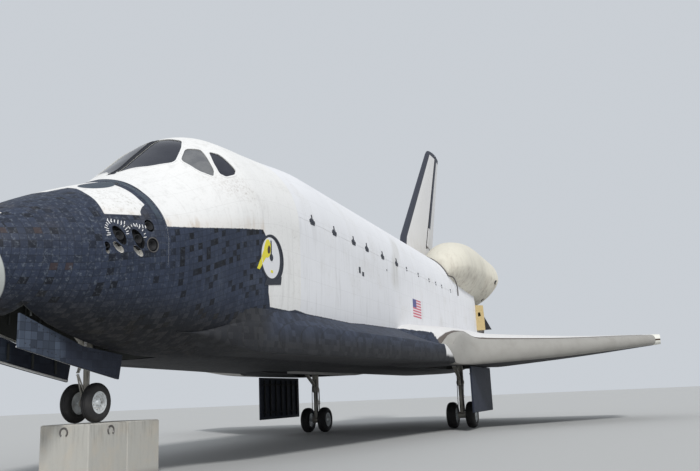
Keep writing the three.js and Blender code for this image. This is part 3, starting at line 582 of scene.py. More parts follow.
class Wiring:
    """Short ways to add and link nodes in one shader or geometry tree."""

    def __init__(self, tree: Tree) -> None:
        """Wraps a node tree."""
        self.tree = tree

    def add(self, kind: str, inputs: Optional[dict[Union[str, int], Value]] = None,
            **settings: object) -> bpy.types.Node:
        """Adds a node.

        Args:
            kind: the node's type.
            inputs: socket name or number, and a value or the socket that feeds it.
            settings: the node's own settings.

        Returns:
            The node.
        """
        node = self.tree.nodes.new(kind)
        for key, value in settings.items():
            setattr(node, key, value)
        for key, value in (inputs or {}).items():
            if isinstance(value, Socket):
                self.tree.links.new(value, node.inputs[key])
            else:
                node.inputs[key].default_value = value
        return node

    def one(self, kind: str, inputs: Optional[dict[Union[str, int], Value]] = None, **settings: object) -> Socket:
        """Adds a node and gives its first output."""
        return self.add(kind, inputs, **settings).outputs[0]

    def math(self, operation: str, *values: Value, clamp: bool = False) -> Socket:
        """The result of one math node."""
        return self.one("ShaderNodeMath", dict(enumerate(values)), operation=operation, use_clamp=clamp)

    def plus(self, first: Value, second: Value) -> Socket:
        """The sum of two values."""
        return self.math("ADD", first, second)

    def minus(self, first: Value, second: Value) -> Socket:
        """The first value less the second."""
        return self.math("SUBTRACT", first, second)

    def vector(self, operation: str, *values: Value) -> Socket:
        """The vector that a vector math node puts out."""
        return self.one("ShaderNodeVectorMath", dict(enumerate(values)), operation=operation)

    def point(self, x: Value, y: Value, z: Value = 0.0) -> Socket:
        """A vector from three numbers."""
        return self.one("ShaderNodeCombineXYZ", {0: x, 1: y, 2: z})

    def parts(self, vector: Socket) -> tuple[Socket, Socket, Socket]:
        """The three numbers of a vector."""
        return tuple(self.add("ShaderNodeSeparateXYZ", {0: vector}).outputs)

    def step(self, value: Value, low: Value, high: Value) -> Socket:
        """Goes smoothly from 0 at low to 1 at high."""
        return self.one("ShaderNodeMapRange", {0: value, 1: low, 2: high}, interpolation_type="SMOOTHSTEP")

    def fall(self, value: Value, low: Value, high: Value) -> Socket:
        """Goes smoothly from 1 at low to 0 at high."""
        return self.without(self.step(value, low, high))

    def scaled(self, value: Value, low: Value, high: Value, to: Numbers = (0.0, 1.0)) -> Socket:
        """Moves a value from one range into another, kept inside it."""
        return self.one("ShaderNodeMapRange", {0: value, 1: low, 2: high, 3: to[0], 4: to[1]})

    def blend(self, share: Value, first: Value, second: Value) -> Socket:
        """Mixes two numbers."""
        return self.one("ShaderNodeMix", {0: share, 2: first, 3: second}, data_type="FLOAT")

    def mixed(self, share: Value, *colours: Value) -> Socket:
        """Mixes two colours, the first where share is 0."""
        first, second = (c if isinstance(c, Socket) else (*c, 1.0) for c in colours)
        return self.add("ShaderNodeMix", {0: share, 6: first, 7: second}, data_type="RGBA").outputs[2]

    def over(self, colour: Value, new: Value, *masks: Value) -> Socket:
        """Lays a new colour over another where all the masks are."""
        return self.mixed(self.common(*masks), colour, new)

    def noise(self, vector: Socket, scale: Value, detail: float, rough: float) -> Socket:
        """Soft noise from 0 to 1."""
        return self.add("ShaderNodeTexNoise", {
            "Vector": vector, "Scale": scale, "Detail": detail, "Roughness": rough}).outputs["Fac"]

    def random(self, cell: Socket) -> Sockets:
        """A random value and colour for each cell."""
        return dict(self.add("ShaderNodeTexWhiteNoise", {"Vector": cell}, noise_dimensions="3D").outputs.items())

    def uv(self) -> Socket:
        """The piece's own UV, in metres."""
        return self.one("ShaderNodeUVMap", uv_map=UV_NAME)

    def curve(self, value: Value, rows: Rows) -> Socket:
        """Reads a table of x and y, straight between its rows.

        Args:
            value: where to read.
            rows: x and y, with x growing.

        Returns:
            The value there.
        """
        table = np.asarray(rows, float)
        (x0, y0), (x1, y1) = table.min(axis=0), table.max(axis=0)
        node = self.add("ShaderNodeFloatCurve", {"Value": self.scaled(value, x0, x1)})
        line = node.mapping.curves[0]
        points = (table - (x0, y0)) / (x1 - x0, max(y1 - y0, 1e-6))
        line.points[0].location, line.points[-1].location = points[0], points[-1]
        for x, y in points[1:-1]:
            line.points.new(x, y)
        for point in line.points:
            point.handle_type = "VECTOR"
        node.mapping.update()
        return self.scaled(node.outputs[0], 0.0, 1.0, (y0, y1))

    def _chain(self, operation: str, masks: Sequence[Value]) -> Socket:
        """Joins several masks two by two."""
        whole = masks[0]
        for mask in masks[1:]:
            whole = self.math(operation, whole, mask)
        return whole

    def union(self, *masks: Value) -> Socket:
        """The greatest of several masks."""
        return self._chain("MAXIMUM", masks)

    def common(self, *masks: Value) -> Socket:
        """The product of several masks."""
        return self._chain("MULTIPLY", masks)

    def without(self, mask: Value) -> Socket:
        """One less the mask."""
        return self.math("SUBTRACT", 1.0, mask, clamp=True)

    def within(self, value: Value, low: float, high: float, soft: float = 0.4) -> Socket:
        """A mask that is 1 from low to high, with soft edges."""
        return self.common(self.step(value, low - soft, low + soft), self.fall(value, high - soft, high + soft))

    def lines(self, value: Value, places: Numbers, width: float) -> Socket:
        """A mask of thin lines where the value is at one of the places."""
        return self.union(*(self.within(value, p - width / 2, p + width / 2, width / 3) for p in places))

    def cells(self, place: Socket, size: Value) -> tuple[Socket, Socket, Socket]:
        """Divides a pattern plane into squares.

        Args:
            place: where a point is.
            size: side of a square.

        Returns:
            The square's number, and the place in it across and up.
        """
        grid = self.vector("DIVIDE", place, size)
        return self.vector("FLOOR", grid), *self.parts(self.vector("FRACTION", grid))[:2]

    def gap(self, across: Socket, up: Socket, width: Value) -> Socket:
        """A mask of the lines between squares."""
        edges = [self.math("PINGPONG", part, 0.5) for part in (across, up)]
        return self.fall(self.math("MINIMUM", *edges), 0.0, width)


def new_tree(kind: str, draw: Draw, inputs: dict[str, Optional[Value]], outputs: Sequence[str]) -> Tree:
    """Builds a node tree with named inputs and outputs, called after what draws it.

    Args:
        kind: the tree's type.
        draw: takes the wiring and the inputs, returns what feeds each output.
        inputs: each input's name, and its value where it has one.
        outputs: the outputs' names.

    Returns:
        The tree.
    """
    tree = bpy.data.node_groups.new(draw.__name__, kind)
    for way, labels in (("INPUT", inputs), ("OUTPUT", outputs)):
        for label in labels:
            socket = tree.interface.new_socket(
                label, in_out=way, socket_type=SOCKET_KINDS.get(label, "NodeSocketFloat"))
            if way == "INPUT" and inputs[label] is not None:
                socket.default_value = inputs[label]
    w = Wiring(tree)
    w.add("NodeGroupOutput", draw(w, dict(w.add("NodeGroupInput").outputs.items())))
    return tree


def spaced(named: dict[str, Value]) -> dict[str, Value]:
    """The same values by names with blanks in place of _."""
    return {key.replace("_", " "): value for key, value in named.items()}


class Pattern:
    """A shader node group, built at its first use and shared by every finish."""

    def __init__(self, draw: Draw, outputs: str, **inputs: Optional[Value]) -> None:
        """Notes how the group is drawn, and its outputs' and inputs' names."""
        self.draw, self.outputs, self.inputs = draw, outputs.split(), spaced(inputs)
        self.tree: Optional[Tree] = None

    def place(self, w: Wiring, **inputs: Value) -> Sockets:
        """Places the group in a tree.

        Args:
            w: the tree's wiring.
            inputs: the group's inputs, with _ for a blank.

        Returns:
            Its outputs, by name.
        """
        if self.tree is None:
            self.tree = new_tree("ShaderNodeTree", self.draw, self.inputs, self.outputs)
        return dict(w.add("ShaderNodeGroup", spaced(inputs), node_tree=self.tree).outputs.items())


def station(w: Wiring, _: Sockets) -> Sockets:
    """Where a point is, in station inches, read from Object coordinates."""
    place = w.add("ShaderNodeTexCoord").outputs["Object"]
    x, y, z = (w.math("DIVIDE", part, INCH) for part in w.parts(place))
    return {"X": w.plus(x, MID_X), "Y": y, "Z": w.plus(z, GROUND_Z), "Side": w.math("ABSOLUTE", y), "Place": place}


def tiles(w: Wiring, i: Sockets) -> Sockets:
    """Square tiles: a shade for each, some singled out, and the gaps between them."""
    cell, across, up = w.cells(i["Vector"], w.point(i["Size"], i["Size"], i["Size"]))
    shade, green, tone = w.add("ShaderNodeSeparateColor", {0: w.random(cell)["Color"]}).outputs
    gap = w.gap(across, up, i["Gap"])
    lone, left, below = w.cells(cell, (2.0, 2.0, 2.0))
    return {
        "Sparse": w.common(w.math("LESS_THAN", w.plus(left, below), 0.25),
                           w.math("GREATER_THAN", w.random(lone)["Value"], 0.42)),
        "Shade": shade, "Odd": w.math("GREATER_THAN", green, w.minus(1.0, i["Odd Share"])),
        "Tone": tone, "Gap": gap, "Height": w.minus(w.common(shade, 0.25), gap)}


def weather(w: Wiring, i: Sockets) -> Sockets:
    """Blotches of dirt, streaks that run down with the rain, and fine noise."""
    stretched = w.vector("MULTIPLY", i["Vector"], (1.0, 1.0, 0.12))
    return {
        "Blotch": w.step(w.noise(i["Vector"], i["Scale"], 6.0, 0.62), i["Low"], i["High"]),
        "Streak": w.step(w.noise(stretched, w.common(i["Scale"], 5.0), 4.0, 0.6), i["Low"], i["High"]),
        "Fine": w.noise(i["Vector"], w.common(i["Scale"], 16.0), 3.0, 0.7)}


def quilt(w: Wiring, i: Sockets) -> Sockets:
    """Quilted blankets: stitched squares inside larger blankets with seams between them."""
    (_, *stitch), (cell, *seam) = (
        w.cells(i["Vector"], w.point(i[name], i[name], i[name])) for name in ("Stitch", "Blanket"))
    return {"Stitch": w.gap(*stitch, 0.18), "Seam": w.gap(*seam, 0.012), "Shade": w.random(cell)["Value"]}


def scuff(w: Wiring, i: Sockets) -> Sockets:
    """Wear and grime for metal: scratches along one way and soft spots."""
    brushed = w.vector("MULTIPLY", i["Vector"], i["Grain"])
    return {"Scratch": w.noise(brushed, w.common(i["Scale"], 12.0), 5.0, 0.7),
            "Spots": w.step(w.noise(i["Vector"], i["Scale"], 5.0, 0.6), 0.42, 0.7)}


def flat(w: Wiring, _: Sockets) -> Sockets:
    """A level or upright pattern plane for pieces without a UV, chosen by where a face looks."""
    coordinates = w.add("ShaderNodeTexCoord").outputs
    x, y, z = w.parts(coordinates["Object"])
    nx, _, nz = w.parts(coordinates["Normal"])
    level = w.math("GREATER_THAN", w.math("ABSOLUTE", nz), 0.6)
    front = w.math("GREATER_THAN", w.math("ABSOLUTE", nx), 0.75)
    return {"Plane": w.point(w.blend(front, x, y), w.blend(level, z, y)), "Up": nz}


STATION = Pattern(station, "X Y Z Side Place")
TILES = Pattern(tiles, "Shade Odd Sparse Tone Gap Height", Vector=None, Size=0.1524, Gap=0.05, Odd_Share=0.2)
WEATHER = Pattern(weather, "Blotch Streak Fine", Vector=None, Scale=1.0, Low=0.5, High=0.75)
QUILT = Pattern(quilt, "Stitch Seam Shade", Vector=None, Stitch=0.0254, Blanket=0.76)
SCUFF = Pattern(scuff, "Scratch Spots", Vector=None, Scale=4.0, Grain=(1.0, 1.0, 6.0))
FLAT = Pattern(flat, "Plane Up")


# Finishes


def toned(colour: Numbers, share: float) -> Numbers:
    """A colour made darker or paler."""
    return tuple(c * share for c in colour)


class Finish:
    """What every finish shares: a new material, its wiring and its Principled shader."""

    # scale of the weather, and the noise where its blotches begin and where they are full
    weather = (2.4, 0.45, 0.7)
    joint_dark = (0.004, 0.005, 0.008)
    chalk = (0.10, 0.11, 0.13)

    def make(self, name: str) -> Material:
        """Builds the material.

        Args:
            name: its name.

        Returns:
            The material.
        """
        material = bpy.data.materials.new(name)
        material.use_nodes = True
        material.node_tree.nodes.clear()
        w = Wiring(material.node_tree)
        s = STATION.place(w)
        if self.weather:
            scale, low, high = self.weather
            s |= WEATHER.place(w, Vector=s["Place"], Scale=scale, Low=low, High=high)
        self.paint(w, s)
        return material

    def quilted(self, w: Wiring, vector: Socket, size: float, stitch: float = 0.0254,
                depth: float = -0.3) -> tuple[Sockets, Socket]:
        """Places the quilt group.

        Args:
            w: the material's wiring.
            vector: the pattern's plane.
            size: side of a blanket.
            stitch: side of a stitched square.
            depth: height of the stitches.

        Returns:
            The group's outputs and the quilt's height.
        """
        cloth = QUILT.place(w, Vector=vector, Stitch=stitch, Blanket=size)
        return cloth, w.plus(w.common(cloth["Stitch"], depth), w.common(cloth["Seam"], -1.0))

    def mottle(self, w: Wiring, s: Sockets, grid: Sockets, *colours: Numbers) -> Socket:
        """Specks of two colours where tiles have been handled."""
        speck = w.plus(w.common(s["Fine"], 0.65), w.common(grid["Shade"], 0.35))
        return w.mixed(w.step(speck, 0.42, 0.68), *colours)

    def rough(self, w: Wiring, s: Sockets, low: float, high: float) -> Socket:
        """Roughness that follows the fine noise."""
        return w.scaled(s["Fine"], 0.3, 0.7, (low, high))

    def shade(self, w: Wiring, colour: Value, roughness: Value, height: Optional[Socket] = None,
              depth: float = 0.002, strength: float = 0.6, **plain: Value) -> None:
        """Adds the Principled shader, the bump and the output.

        Args:
            w: the material's wiring.
            colour: base colour.
            roughness: roughness.
            height: what the bump reads.
            depth: the bump's distance in metres.
            strength: the bump's strength.
            plain: other shader inputs, with _ for a blank.
        """
        inputs = {"Base Color": colour, "Roughness": roughness, **spaced(plain)}
        if height is not None:
            inputs["Normal"] = w.one("ShaderNodeBump", {"Height": height, "Distance": depth, "Strength": strength})
        w.add("ShaderNodeOutputMaterial", {"Surface": w.one("ShaderNodeBsdfPrincipled", inputs)})


class Zone(Enum):
    """Parts of the body that share one painted skin."""

    NOSE = "nose"
    SIDE = "side"
    DOOR = "door"
    STERN = "stern"


@dataclass(frozen=True)
class BodyPaint(Finish):
    """White blankets over black tiles, with the edges between them in station inches."""

    zone: Zone = Zone.SIDE
    white: Numbers = (0.78, 0.78, 0.795)
    tile_dark: Numbers = (0.009, 0.014, 0.028)
    tile_pale: Numbers = (0.032, 0.043, 0.074)
    tile_odd: Numbers = (0.002, 0.003, 0.006)
    tile_warm: Numbers = (0.045, 0.026, 0.020)
    dirt: Numbers = (0.60, 0.47, 0.35)
    grey: Numbers = (0.40, 0.39, 0.37)
    # x and z of the top of the black tiles along the side
    tile_top: Rows = (
        (200, 366.5), (368.2, 367.3), (406.3, 372.8), (468.5, 383), (504, 388.3), (506, 334),
        (508, 333), (513, 314.2), (558, 314), (568.5, 316.5), (601, 314.6), (640, 315),
        (730, 315), (774, 317.2), (924, 321.5), (964, 313.2), (1520, 313.2))
    # distance from the middle, and x of the rear edge of the nose's black arc
    arc_edge: Rows = (
        (0, 384.5), (17.8, 380.4), (34.5, 376.8), (57.2, 370.8), (72, 368.9), (82, 368.8), (110, 369))
    # distance from the middle, and x of the white panel's front and rear edges
    panel_front: Rows = (
        (0, 311), (10, 312), (14, 330.5), (24, 329.2), (36, 324.4), (49, 321.5), (60, 318.2), (110, 318))
    panel_rear: Rows = (
        (0, 368), (40, 361), (54, 359.1), (63, 357.6), (68.5, 357.8), (69.3, 353), (71.2, 348.4),
        (74, 346.8), (110, 346))
    # where the carbon cap ends: x and a share of z added up
    carbon: Numbers = (392.04, 0.43)
    # z of the white panel's foot at x 319, and how it rises with x
    panel_foot: Numbers = (370.0, 0.12)
    seams: Numbers = (604.0, 740.0, 885.0, 1030.0, 1175.0)
    # z and x of the grey run down the side
    stain: Rows = ((350, 922), (381, 923), (414, 925), (452, 956), (503, 985))
    # x and z of the striped patch's lower front corner, its length and its height
    patch: Numbers = (1010.0, 346.3, 48.0, 28.6)
    weather = (0.9, 0.5, 0.72)

    def nose_masks(self, w: Wiring, s: Sockets) -> tuple[Socket, Socket, Socket]:
        """The black arc, the white panel in it, and the pale line round it with the lens patches."""
        behind = w.minus(w.curve(s["Side"], self.arc_edge), s["X"])
        arc = w.step(behind, -0.25, 0.25)
        foot, rise = self.panel_foot
        panel = w.common(
            w.step(w.minus(s["X"], w.curve(s["Side"], self.panel_front)), -0.4, 0.4),
            w.step(w.minus(w.curve(s["Side"], self.panel_rear), s["X"]), -0.4, 0.4),
            w.step(w.minus(s["Z"], w.common(w.minus(s["X"], 319.0), rise)), foot - 0.3, foot + 0.3))
        along = w.math("DIVIDE", w.minus(s["X"], 352.0), 17.5)
        across = w.math("DIVIDE", w.minus(s["Side"], 25.0), 13.0)
        lens = w.common(w.step(s["Z"], 350.0, 360.0), w.fall(
            w.plus(w.math("POWER", along, 2.0), w.math("POWER", across, 2.0)), 0.92, 1.05))
        line = w.common(w.within(behind, 2.6, 7.2, 0.5), w.step(s["Z"], 368.0, 380.0))
        return arc, w.common(panel, w.without(lens)), w.union(line, w.common(lens, arc))

    def tiles(self, w: Wiring, s: Sockets) -> tuple[Socket, Socket]:
        """The black tiles' colour and height."""
        grid = TILES.place(w, Vector=w.uv(), Size=0.135, Gap=0.07, Odd_Share=0.09)
        nose = w.fall(s["X"], 290.0, 420.0)
        spots = w.common(grid["Sparse"], w.step(s["Z"], 318.0, 336.0),
                         w.plus(w.common(w.step(s["X"], 370.0, 380.0), 0.5), 0.45))
        warm = w.common(w.math("GREATER_THAN", grid["Tone"], 0.965), w.fall(s["X"], 285, 310))
        frost = w.common(w.step(s["Fine"], 0.5, 0.8), w.plus(w.common(nose, 0.7), 0.22))
        mottle = self.mottle(w, s, grid, (0.007, 0.007, 0.007), (0.034, 0.031, 0.028))
        colour = w.mixed(w.scaled(grid["Shade"], 0.0, 1.0, (0.42, 0.86)), self.tile_dark, self.tile_pale)
        for new, *masks in (
                ((0.065, 0.080, 0.115), s["Blotch"], w.without(nose), 0.4),
                (self.tile_odd, w.union(w.common(grid["Odd"], 0.8), spots)),
                (self.tile_warm, warm, 0.7), ((0.13, 0.15, 0.18), frost),
                ((0.085, 0.072, 0.066), nose, s["Blotch"], w.step(s["Z"], 330.0, 372.0), 0.55),
                (mottle, w.fall(s["Z"], 284.0, 322.0), 0.85), (self.joint_dark, grid["Gap"], 0.6)):
            colour = w.over(colour, new, *masks)
        return colour, grid["Height"]

    def flag(self, w: Wiring, s: Sockets, colour: Socket) -> Socket:
        """Paints the striped patch: thirteen stripes and a plain canton."""
        x, z, long, high = self.patch
        u = w.math("DIVIDE", w.minus(s["X"], x), long)
        v = w.math("DIVIDE", w.minus(s["Z"], z), high)
        patch = w.common(w.within(u, 0.0, 1.0, 0.004), w.within(v, 0.0, 1.0, 0.01),
                         w.step(s["Side"], 98.0, 99.0))
        stripe = w.math("LESS_THAN", w.math("MODULO", w.common(v, 13.0), 2.0), 1.0)
        cloth = w.mixed(stripe, (0.76, 0.66, 0.68), (0.58, 0.13, 0.18))
        canton = w.common(w.math("LESS_THAN", u, 0.43), w.math("GREATER_THAN", v, 0.54))
        return w.over(colour, w.over(cloth, (0.12, 0.12, 0.27), canton), patch)

    def blankets(self, w: Wiring, s: Sockets, edge: Socket) -> tuple[Socket, Socket]:
        """The white blankets' colour and height.

        Args:
            w: the material's wiring.
            s: what is known of the point.
            edge: height above the black tiles' upper edge.

        Returns:
            Colour and height.
        """
        cloth, height = self.quilted(w, w.uv(), 0.6096)
        smudge = w.common(w.step(s["Fine"], 0.57, 0.72), w.step(s["Blotch"], 0.15, 0.8))
        run = w.common(w.fall(edge, 1.0, 15.0), w.step(edge, -1.0, 0.5),
                       w.plus(w.common(s["Streak"], 0.8), 0.2), w.fall(s["X"], 495.0, 530.0))
        stain = w.minus(s["X"], w.curve(s["Z"], self.stain))
        stain = w.common(w.within(stain, -16.0, 16.0, 9.0), w.step(s["Z"], 372.0, 392.0),
                         w.fall(s["Z"], 452.0, 474.0), w.scaled(s["Streak"], 0.0, 1.0, (0.55, 1.0)))
        seams = w.lines(s["X"], self.seams, 0.5)
        colour = self.white
        for new, *masks in (
                (toned(self.white, 0.93), cloth["Shade"], 0.35), (self.grey, cloth["Seam"], 0.28),
                ((0.62, 0.60, 0.56), s["Blotch"], 0.22), (self.grey, smudge, 0.30), (self.dirt, run, 0.62),
                (self.grey, s["Streak"], w.within(edge, 0.0, 110.0, 20.0), 0.22),
                ((0.44, 0.42, 0.36), stain, 0.5), (self.grey, seams, 0.34)):
            colour = w.over(colour, new, *masks)
        return colour, w.minus(height, seams)

    def paint(self, w: Wiring, s: Sockets) -> None:
        """Draws the skin of the zone."""
        edge = w.minus(s["Z"], w.curve(s["X"], self.tile_top))
        edge = w.plus(edge, w.common(w.minus(s["Fine"], 0.5), 1.6))
        colour, height = self.blankets(w, s, edge)
        if self.zone is Zone.SIDE:
            colour = self.flag(w, s, colour)
        if self.zone is Zone.DOOR:
            rough = self.rough(w, s, 0.6, 0.75)
        else:
            tile, relief = self.tiles(w, s)
            black = w.fall(edge, -0.4, 0.4)
            if self.zone is Zone.NOSE:
                arc, panel, pale = self.nose_masks(w, s)
                black = w.common(w.union(black, arc), w.without(panel))
                tile = w.over(tile, (0.055, 0.074, 0.095), pale, 0.8)
                grime = w.common(w.within(s["Z"], 414.0, 437.0, 7.0), w.within(s["X"], 448.0, 488.0, 12.0),
                                 w.step(s["Fine"], 0.4, 0.75))
                colour = w.over(colour, (0.44, 0.39, 0.35), grime, 0.5)
                worn = w.common(w.step(s["Fine"], 0.5, 0.7), w.plus(w.common(panel, 0.3), 0.12))
                colour = w.over(colour, (0.40, 0.38, 0.33), worn)
            colour = w.over(colour, tile, black)
            if self.zone is Zone.NOSE:
                colour = self.cap_and_post(w, s, colour)
            height = w.blend(black, height, relief)
            rough = w.scaled(w.common(black, s["Fine"]), 0.0, 1.0, (0.7, 0.5))
        self.shade(w, colour, rough, height, 0.003, 0.35, Specular_IOR_Level=0.3)

    def cap_and_post(self, w: Wiring, s: Sockets, colour: Socket) -> Socket:
        """Paints the dark post between the forward panes, and the carbon cap."""
        post = w.common(w.fall(s["Side"], 4.3, 4.7), w.within(s["X"], 400.0, 474.0, 1.0),
                        w.step(s["Z"], 426.0, 430.0))
        colour = w.over(colour, (0.010, 0.012, 0.020), post)
        end, lean = self.carbon
        ahead = w.plus(s["X"], w.common(s["Z"], lean))
        carbon = w.over((0.50, 0.52, 0.49), (0.22, 0.23, 0.22), s["Blotch"], 0.5)
        return w.over(colour, carbon, w.fall(ahead, end - 0.4, end + 0.4))


@dataclass(frozen=True)
class TilePaint(Finish):
    """Black tiles on moving surfaces and doors, white blankets where the piece looks up."""

    dark: Numbers = (0.012, 0.016, 0.028)
    pale: Numbers = (0.045, 0.056, 0.080)
    white_above: bool = False
    # x from which the piece darkens and x where it is darkest
    fade: Numbers = ()
    weather = (1.6, 0.5, 0.75)

    def paint(self, w: Wiring, s: Sockets) -> None:
        """Draws the tiles."""
        plane = FLAT.place(w)
        grid = TILES.place(w, Vector=plane["Plane"], Size=0.1524, Gap=0.06)
        colour = w.mixed(grid["Shade"], self.dark, self.pale)
        colour = w.over(colour, toned(self.dark, 0.5), grid["Odd"], 0.5)
        colour = w.over(colour, self.chalk, w.step(s["Fine"], 0.5, 0.85), 0.3)
        colour = w.over(colour, self.joint_dark, grid["Gap"], 0.6)
        if self.fade:
            colour = w.over(colour, (0.012, 0.015, 0.028), w.step(s["X"], *self.fade), 0.8)
        if self.white_above:
            cloth = QUILT.place(w, Vector=plane["Plane"], Blanket=0.6096)
            white = w.over((0.80, 0.80, 0.81), (0.4, 0.4, 0.39), cloth["Seam"], 0.3)
            white = w.over(white, (0.62, 0.60, 0.55), s["Blotch"], 0.2)
            colour = w.over(colour, white, w.step(plane["Up"], 0.05, 0.3))
        self.shade(w, colour, self.rough(w, s, 0.55, 0.7), grid["Height"], 0.003, 0.35, Specular_IOR_Level=0.3)


@dataclass(frozen=True)
class BlanketPaint(Finish):
    """Quilted white or cream blankets, with grime where rain leaves it."""

    base: Numbers = (0.79, 0.79, 0.80)
    grime: Numbers = (0.50, 0.46, 0.40)
    amount: float = 0.3
    blanket: float = 0.76
    # z of the dirtiest and the cleanest height
    grime_from: Numbers = (400.0, 480.0)
    # black tiles under a wing and on its strake, and the dark edges of the fin
    tile_below: bool = False
    fin: bool = False
    # distance from the middle, and x up to which the strake's top is black
    strake: Rows = ((100, 966), (130, 962), (152, 950), (165, 936), (176, 925), (200, 920))
    strake_top: Rows = ((500, 314.4), (730, 315), (774, 317.2), (924, 321.5), (966, 313))
    # x, and distance from the middle of the joint behind the carbon edge
    joint: Rows = ((930, 160), (952.3, 164.3), (1004.5, 174.5), (1057.7, 206.4), (1304, 452.5))
    # z, and x of the fin's leading edge and of the rudder's hinge line
    fin_edge: Rows = ((500, 1306.1), (549, 1326), (815.7, 1592.7))
    fin_hinge: Rows = ((500, 1456.96), (815.7, 1657.68))
    weather = (1.1, 0.46, 0.74)

    def paint(self, w: Wiring, s: Sockets) -> None:
        """Draws the blankets."""
        cloth, height = self.quilted(w, w.uv(), self.blanket, depth=-0.35)
        colour = w.over(self.base, toned(self.base, 0.92), cloth["Shade"], 0.4)
        colour = w.over(colour, self.grime, cloth["Seam"], 0.3)
        low = w.fall(s["Z"], *self.grime_from)
        colour = w.over(colour, self.grime, w.plus(w.common(s["Blotch"], 0.5), w.common(s["Streak"], 0.5)),
                        w.plus(w.common(low, 0.75), 0.25), self.amount * 2)
        if self.tile_below:
            colour, height = self.underside(w, s, colour, height)
        if self.fin:
            colour = self.fin_edges(w, s, colour)
        self.shade(w, colour, self.rough(w, s, 0.58, 0.74), height, 0.003, 0.3)

    def underside(self, w: Wiring, s: Sockets, colour: Socket, height: Socket) -> tuple[Socket, Socket]:
        """Black tiles below a wing and along its strake's edge.

        Args:
            w: the material's wiring.
            s: what is known of the point.
            colour: the blankets' colour.
            height: the blankets' height.

        Returns:
            Colour and height of both.
        """
        grid = TILES.place(w, Vector=s["Place"], Size=0.1524, Gap=0.06)
        tile = w.mixed(grid["Shade"], (0.010, 0.015, 0.030), (0.032, 0.043, 0.074))
        tile = w.over(tile, self.joint_dark, grid["Gap"], 0.6)
        tile = w.over(tile, self.chalk, w.step(s["Fine"], 0.5, 0.85), 0.3)
        below = w.fall(FLAT.place(w)["Up"], -0.2, 0.0)
        low = w.union(w.fall(s["Z"], 276.0, 300.0), w.fall(s["X"], 490.0, 530.0))
        tile = w.over(tile, self.mottle(w, s, grid, (0.008, 0.008, 0.009), (0.022, 0.021, 0.020)), low, 0.85)
        strake = w.common(w.fall(w.minus(s["X"], w.curve(s["Side"], self.strake)), -1.0, 1.0),
                          w.fall(w.minus(s["Z"], w.curve(s["X"], self.strake_top)), -0.4, 0.4))
        tip = w.common(w.step(s["Side"], 454.0, 456.0), w.fall(s["X"], 1325.0, 1330.0))
        black = w.common(w.union(below, strake), w.without(tip))
        behind = w.minus(w.curve(s["X"], self.joint), s["Side"])
        colour = w.over(colour, (0.07, 0.050, 0.038), w.common(
            w.within(behind, -1.0, 5.5, 0.5), w.within(s["X"], 938.0, 1294.0, 1.0), w.without(below)), 0.94)
        colour = w.over(colour, (0.80, 0.78, 0.70), tip, 0.9)
        return w.over(colour, tile, black), w.blend(black, height, grid["Height"])

    def fin_edges(self, w: Wiring, s: Sockets, colour: Socket) -> Socket:
        """Paints the tail's dark leading edge, hinge line and tip."""
        behind = w.minus(s["X"], w.curve(s["Z"], self.fin_edge))
        hinge = w.minus(s["X"], w.curve(s["Z"], self.fin_hinge))
        dark = w.union(
            w.fall(behind, 21.0, 22.0),
            w.common(w.within(hinge, -1.0, 21.0, 0.5), w.step(s["Z"], 600.0, 601.0)),
            w.step(s["Z"], 803.0, 804.0))
        return w.over(colour, (0.006, 0.011, 0.030), dark, 0.96)


@dataclass(frozen=True)
class CarbonPaint(Finish):
    """Reinforced carbon, chalky, with a joint between each panel and the next; its base is painted paler than the
    carbon itself, as painted sunlight.
    """

    # paler than the carbon's own grey: painted sunlight on the leading edges
    base: Numbers = (0.92, 0.90, 0.82)
    shadow: Numbers = (0.52, 0.48, 0.41)
    spacing: float = 0.60
    weather = (2.2, 0.4, 0.75)

    def paint(self, w: Wiring, s: Sockets) -> None:
        """Draws the panels and their joints."""
        along = w.parts(w.uv())[0]
        joint = w.fall(w.math("PINGPONG", w.math("DIVIDE", along, self.spacing), 0.5), 0.0, 0.022)
        colour = w.over(self.base, self.shadow, s["Blotch"], 0.35)
        colour = w.over(colour, toned(self.base, 0.8), s["Fine"], 0.25)
        colour = w.over(colour, (0.08, 0.07, 0.065), joint, 0.7)
        self.shade(w, colour, 0.55, w.minus(w.common(s["Fine"], 0.3), joint), 0.004, 0.4)


@dataclass(frozen=True)
class GlassPaint(Finish):
    """Dark panes with a dull shine and a little dust."""

    tint: Numbers = (0.006, 0.008, 0.018)
    dust: Numbers = (0.10, 0.10, 0.12)
    dusty: float = 0.12
    weather = (3.0, 0.35, 0.8)

    def paint(self, w: Wiring, s: Sockets) -> None:
        """Draws the pane."""
        colour = w.over(self.tint, self.dust, w.plus(w.common(s["Blotch"], self.dusty), self.dusty * 0.6))
        rough = w.scaled(s["Blotch"], 0.0, 1.0, (0.12, 0.12 + self.dusty))
        self.shade(w, colour, rough, Specular_IOR_Level=0.3)


@dataclass(frozen=True)
class MetalPaint(Finish):
    """Bare, painted or burnt metal with scratches and grimy spots."""

    base: Numbers
    worn: Numbers
    metallic: float = 0.6
    roughness: float = 0.42

    def paint(self, w: Wiring, s: Sockets) -> None:
        """Draws the metal."""
        wear = SCUFF.place(w, Vector=s["Place"], Scale=5.0, Grain=(1.0, 1.0, 6.0))
        bright = tuple(min(c * 1.35, 0.95) for c in self.base)
        colour = w.over(self.base, self.worn, wear["Spots"], 0.55)
        colour = w.over(colour, bright, w.step(wear["Scratch"], 0.56, 0.72), 0.5)
        colour = w.over(colour, self.worn, s["Streak"], 0.3)
        rough = w.scaled(wear["Scratch"], 0.3, 0.75, (self.roughness - 0.12, self.roughness + 0.2))
        self.shade(w, colour, rough, wear["Scratch"], 0.001, 0.25, Metallic=self.metallic)


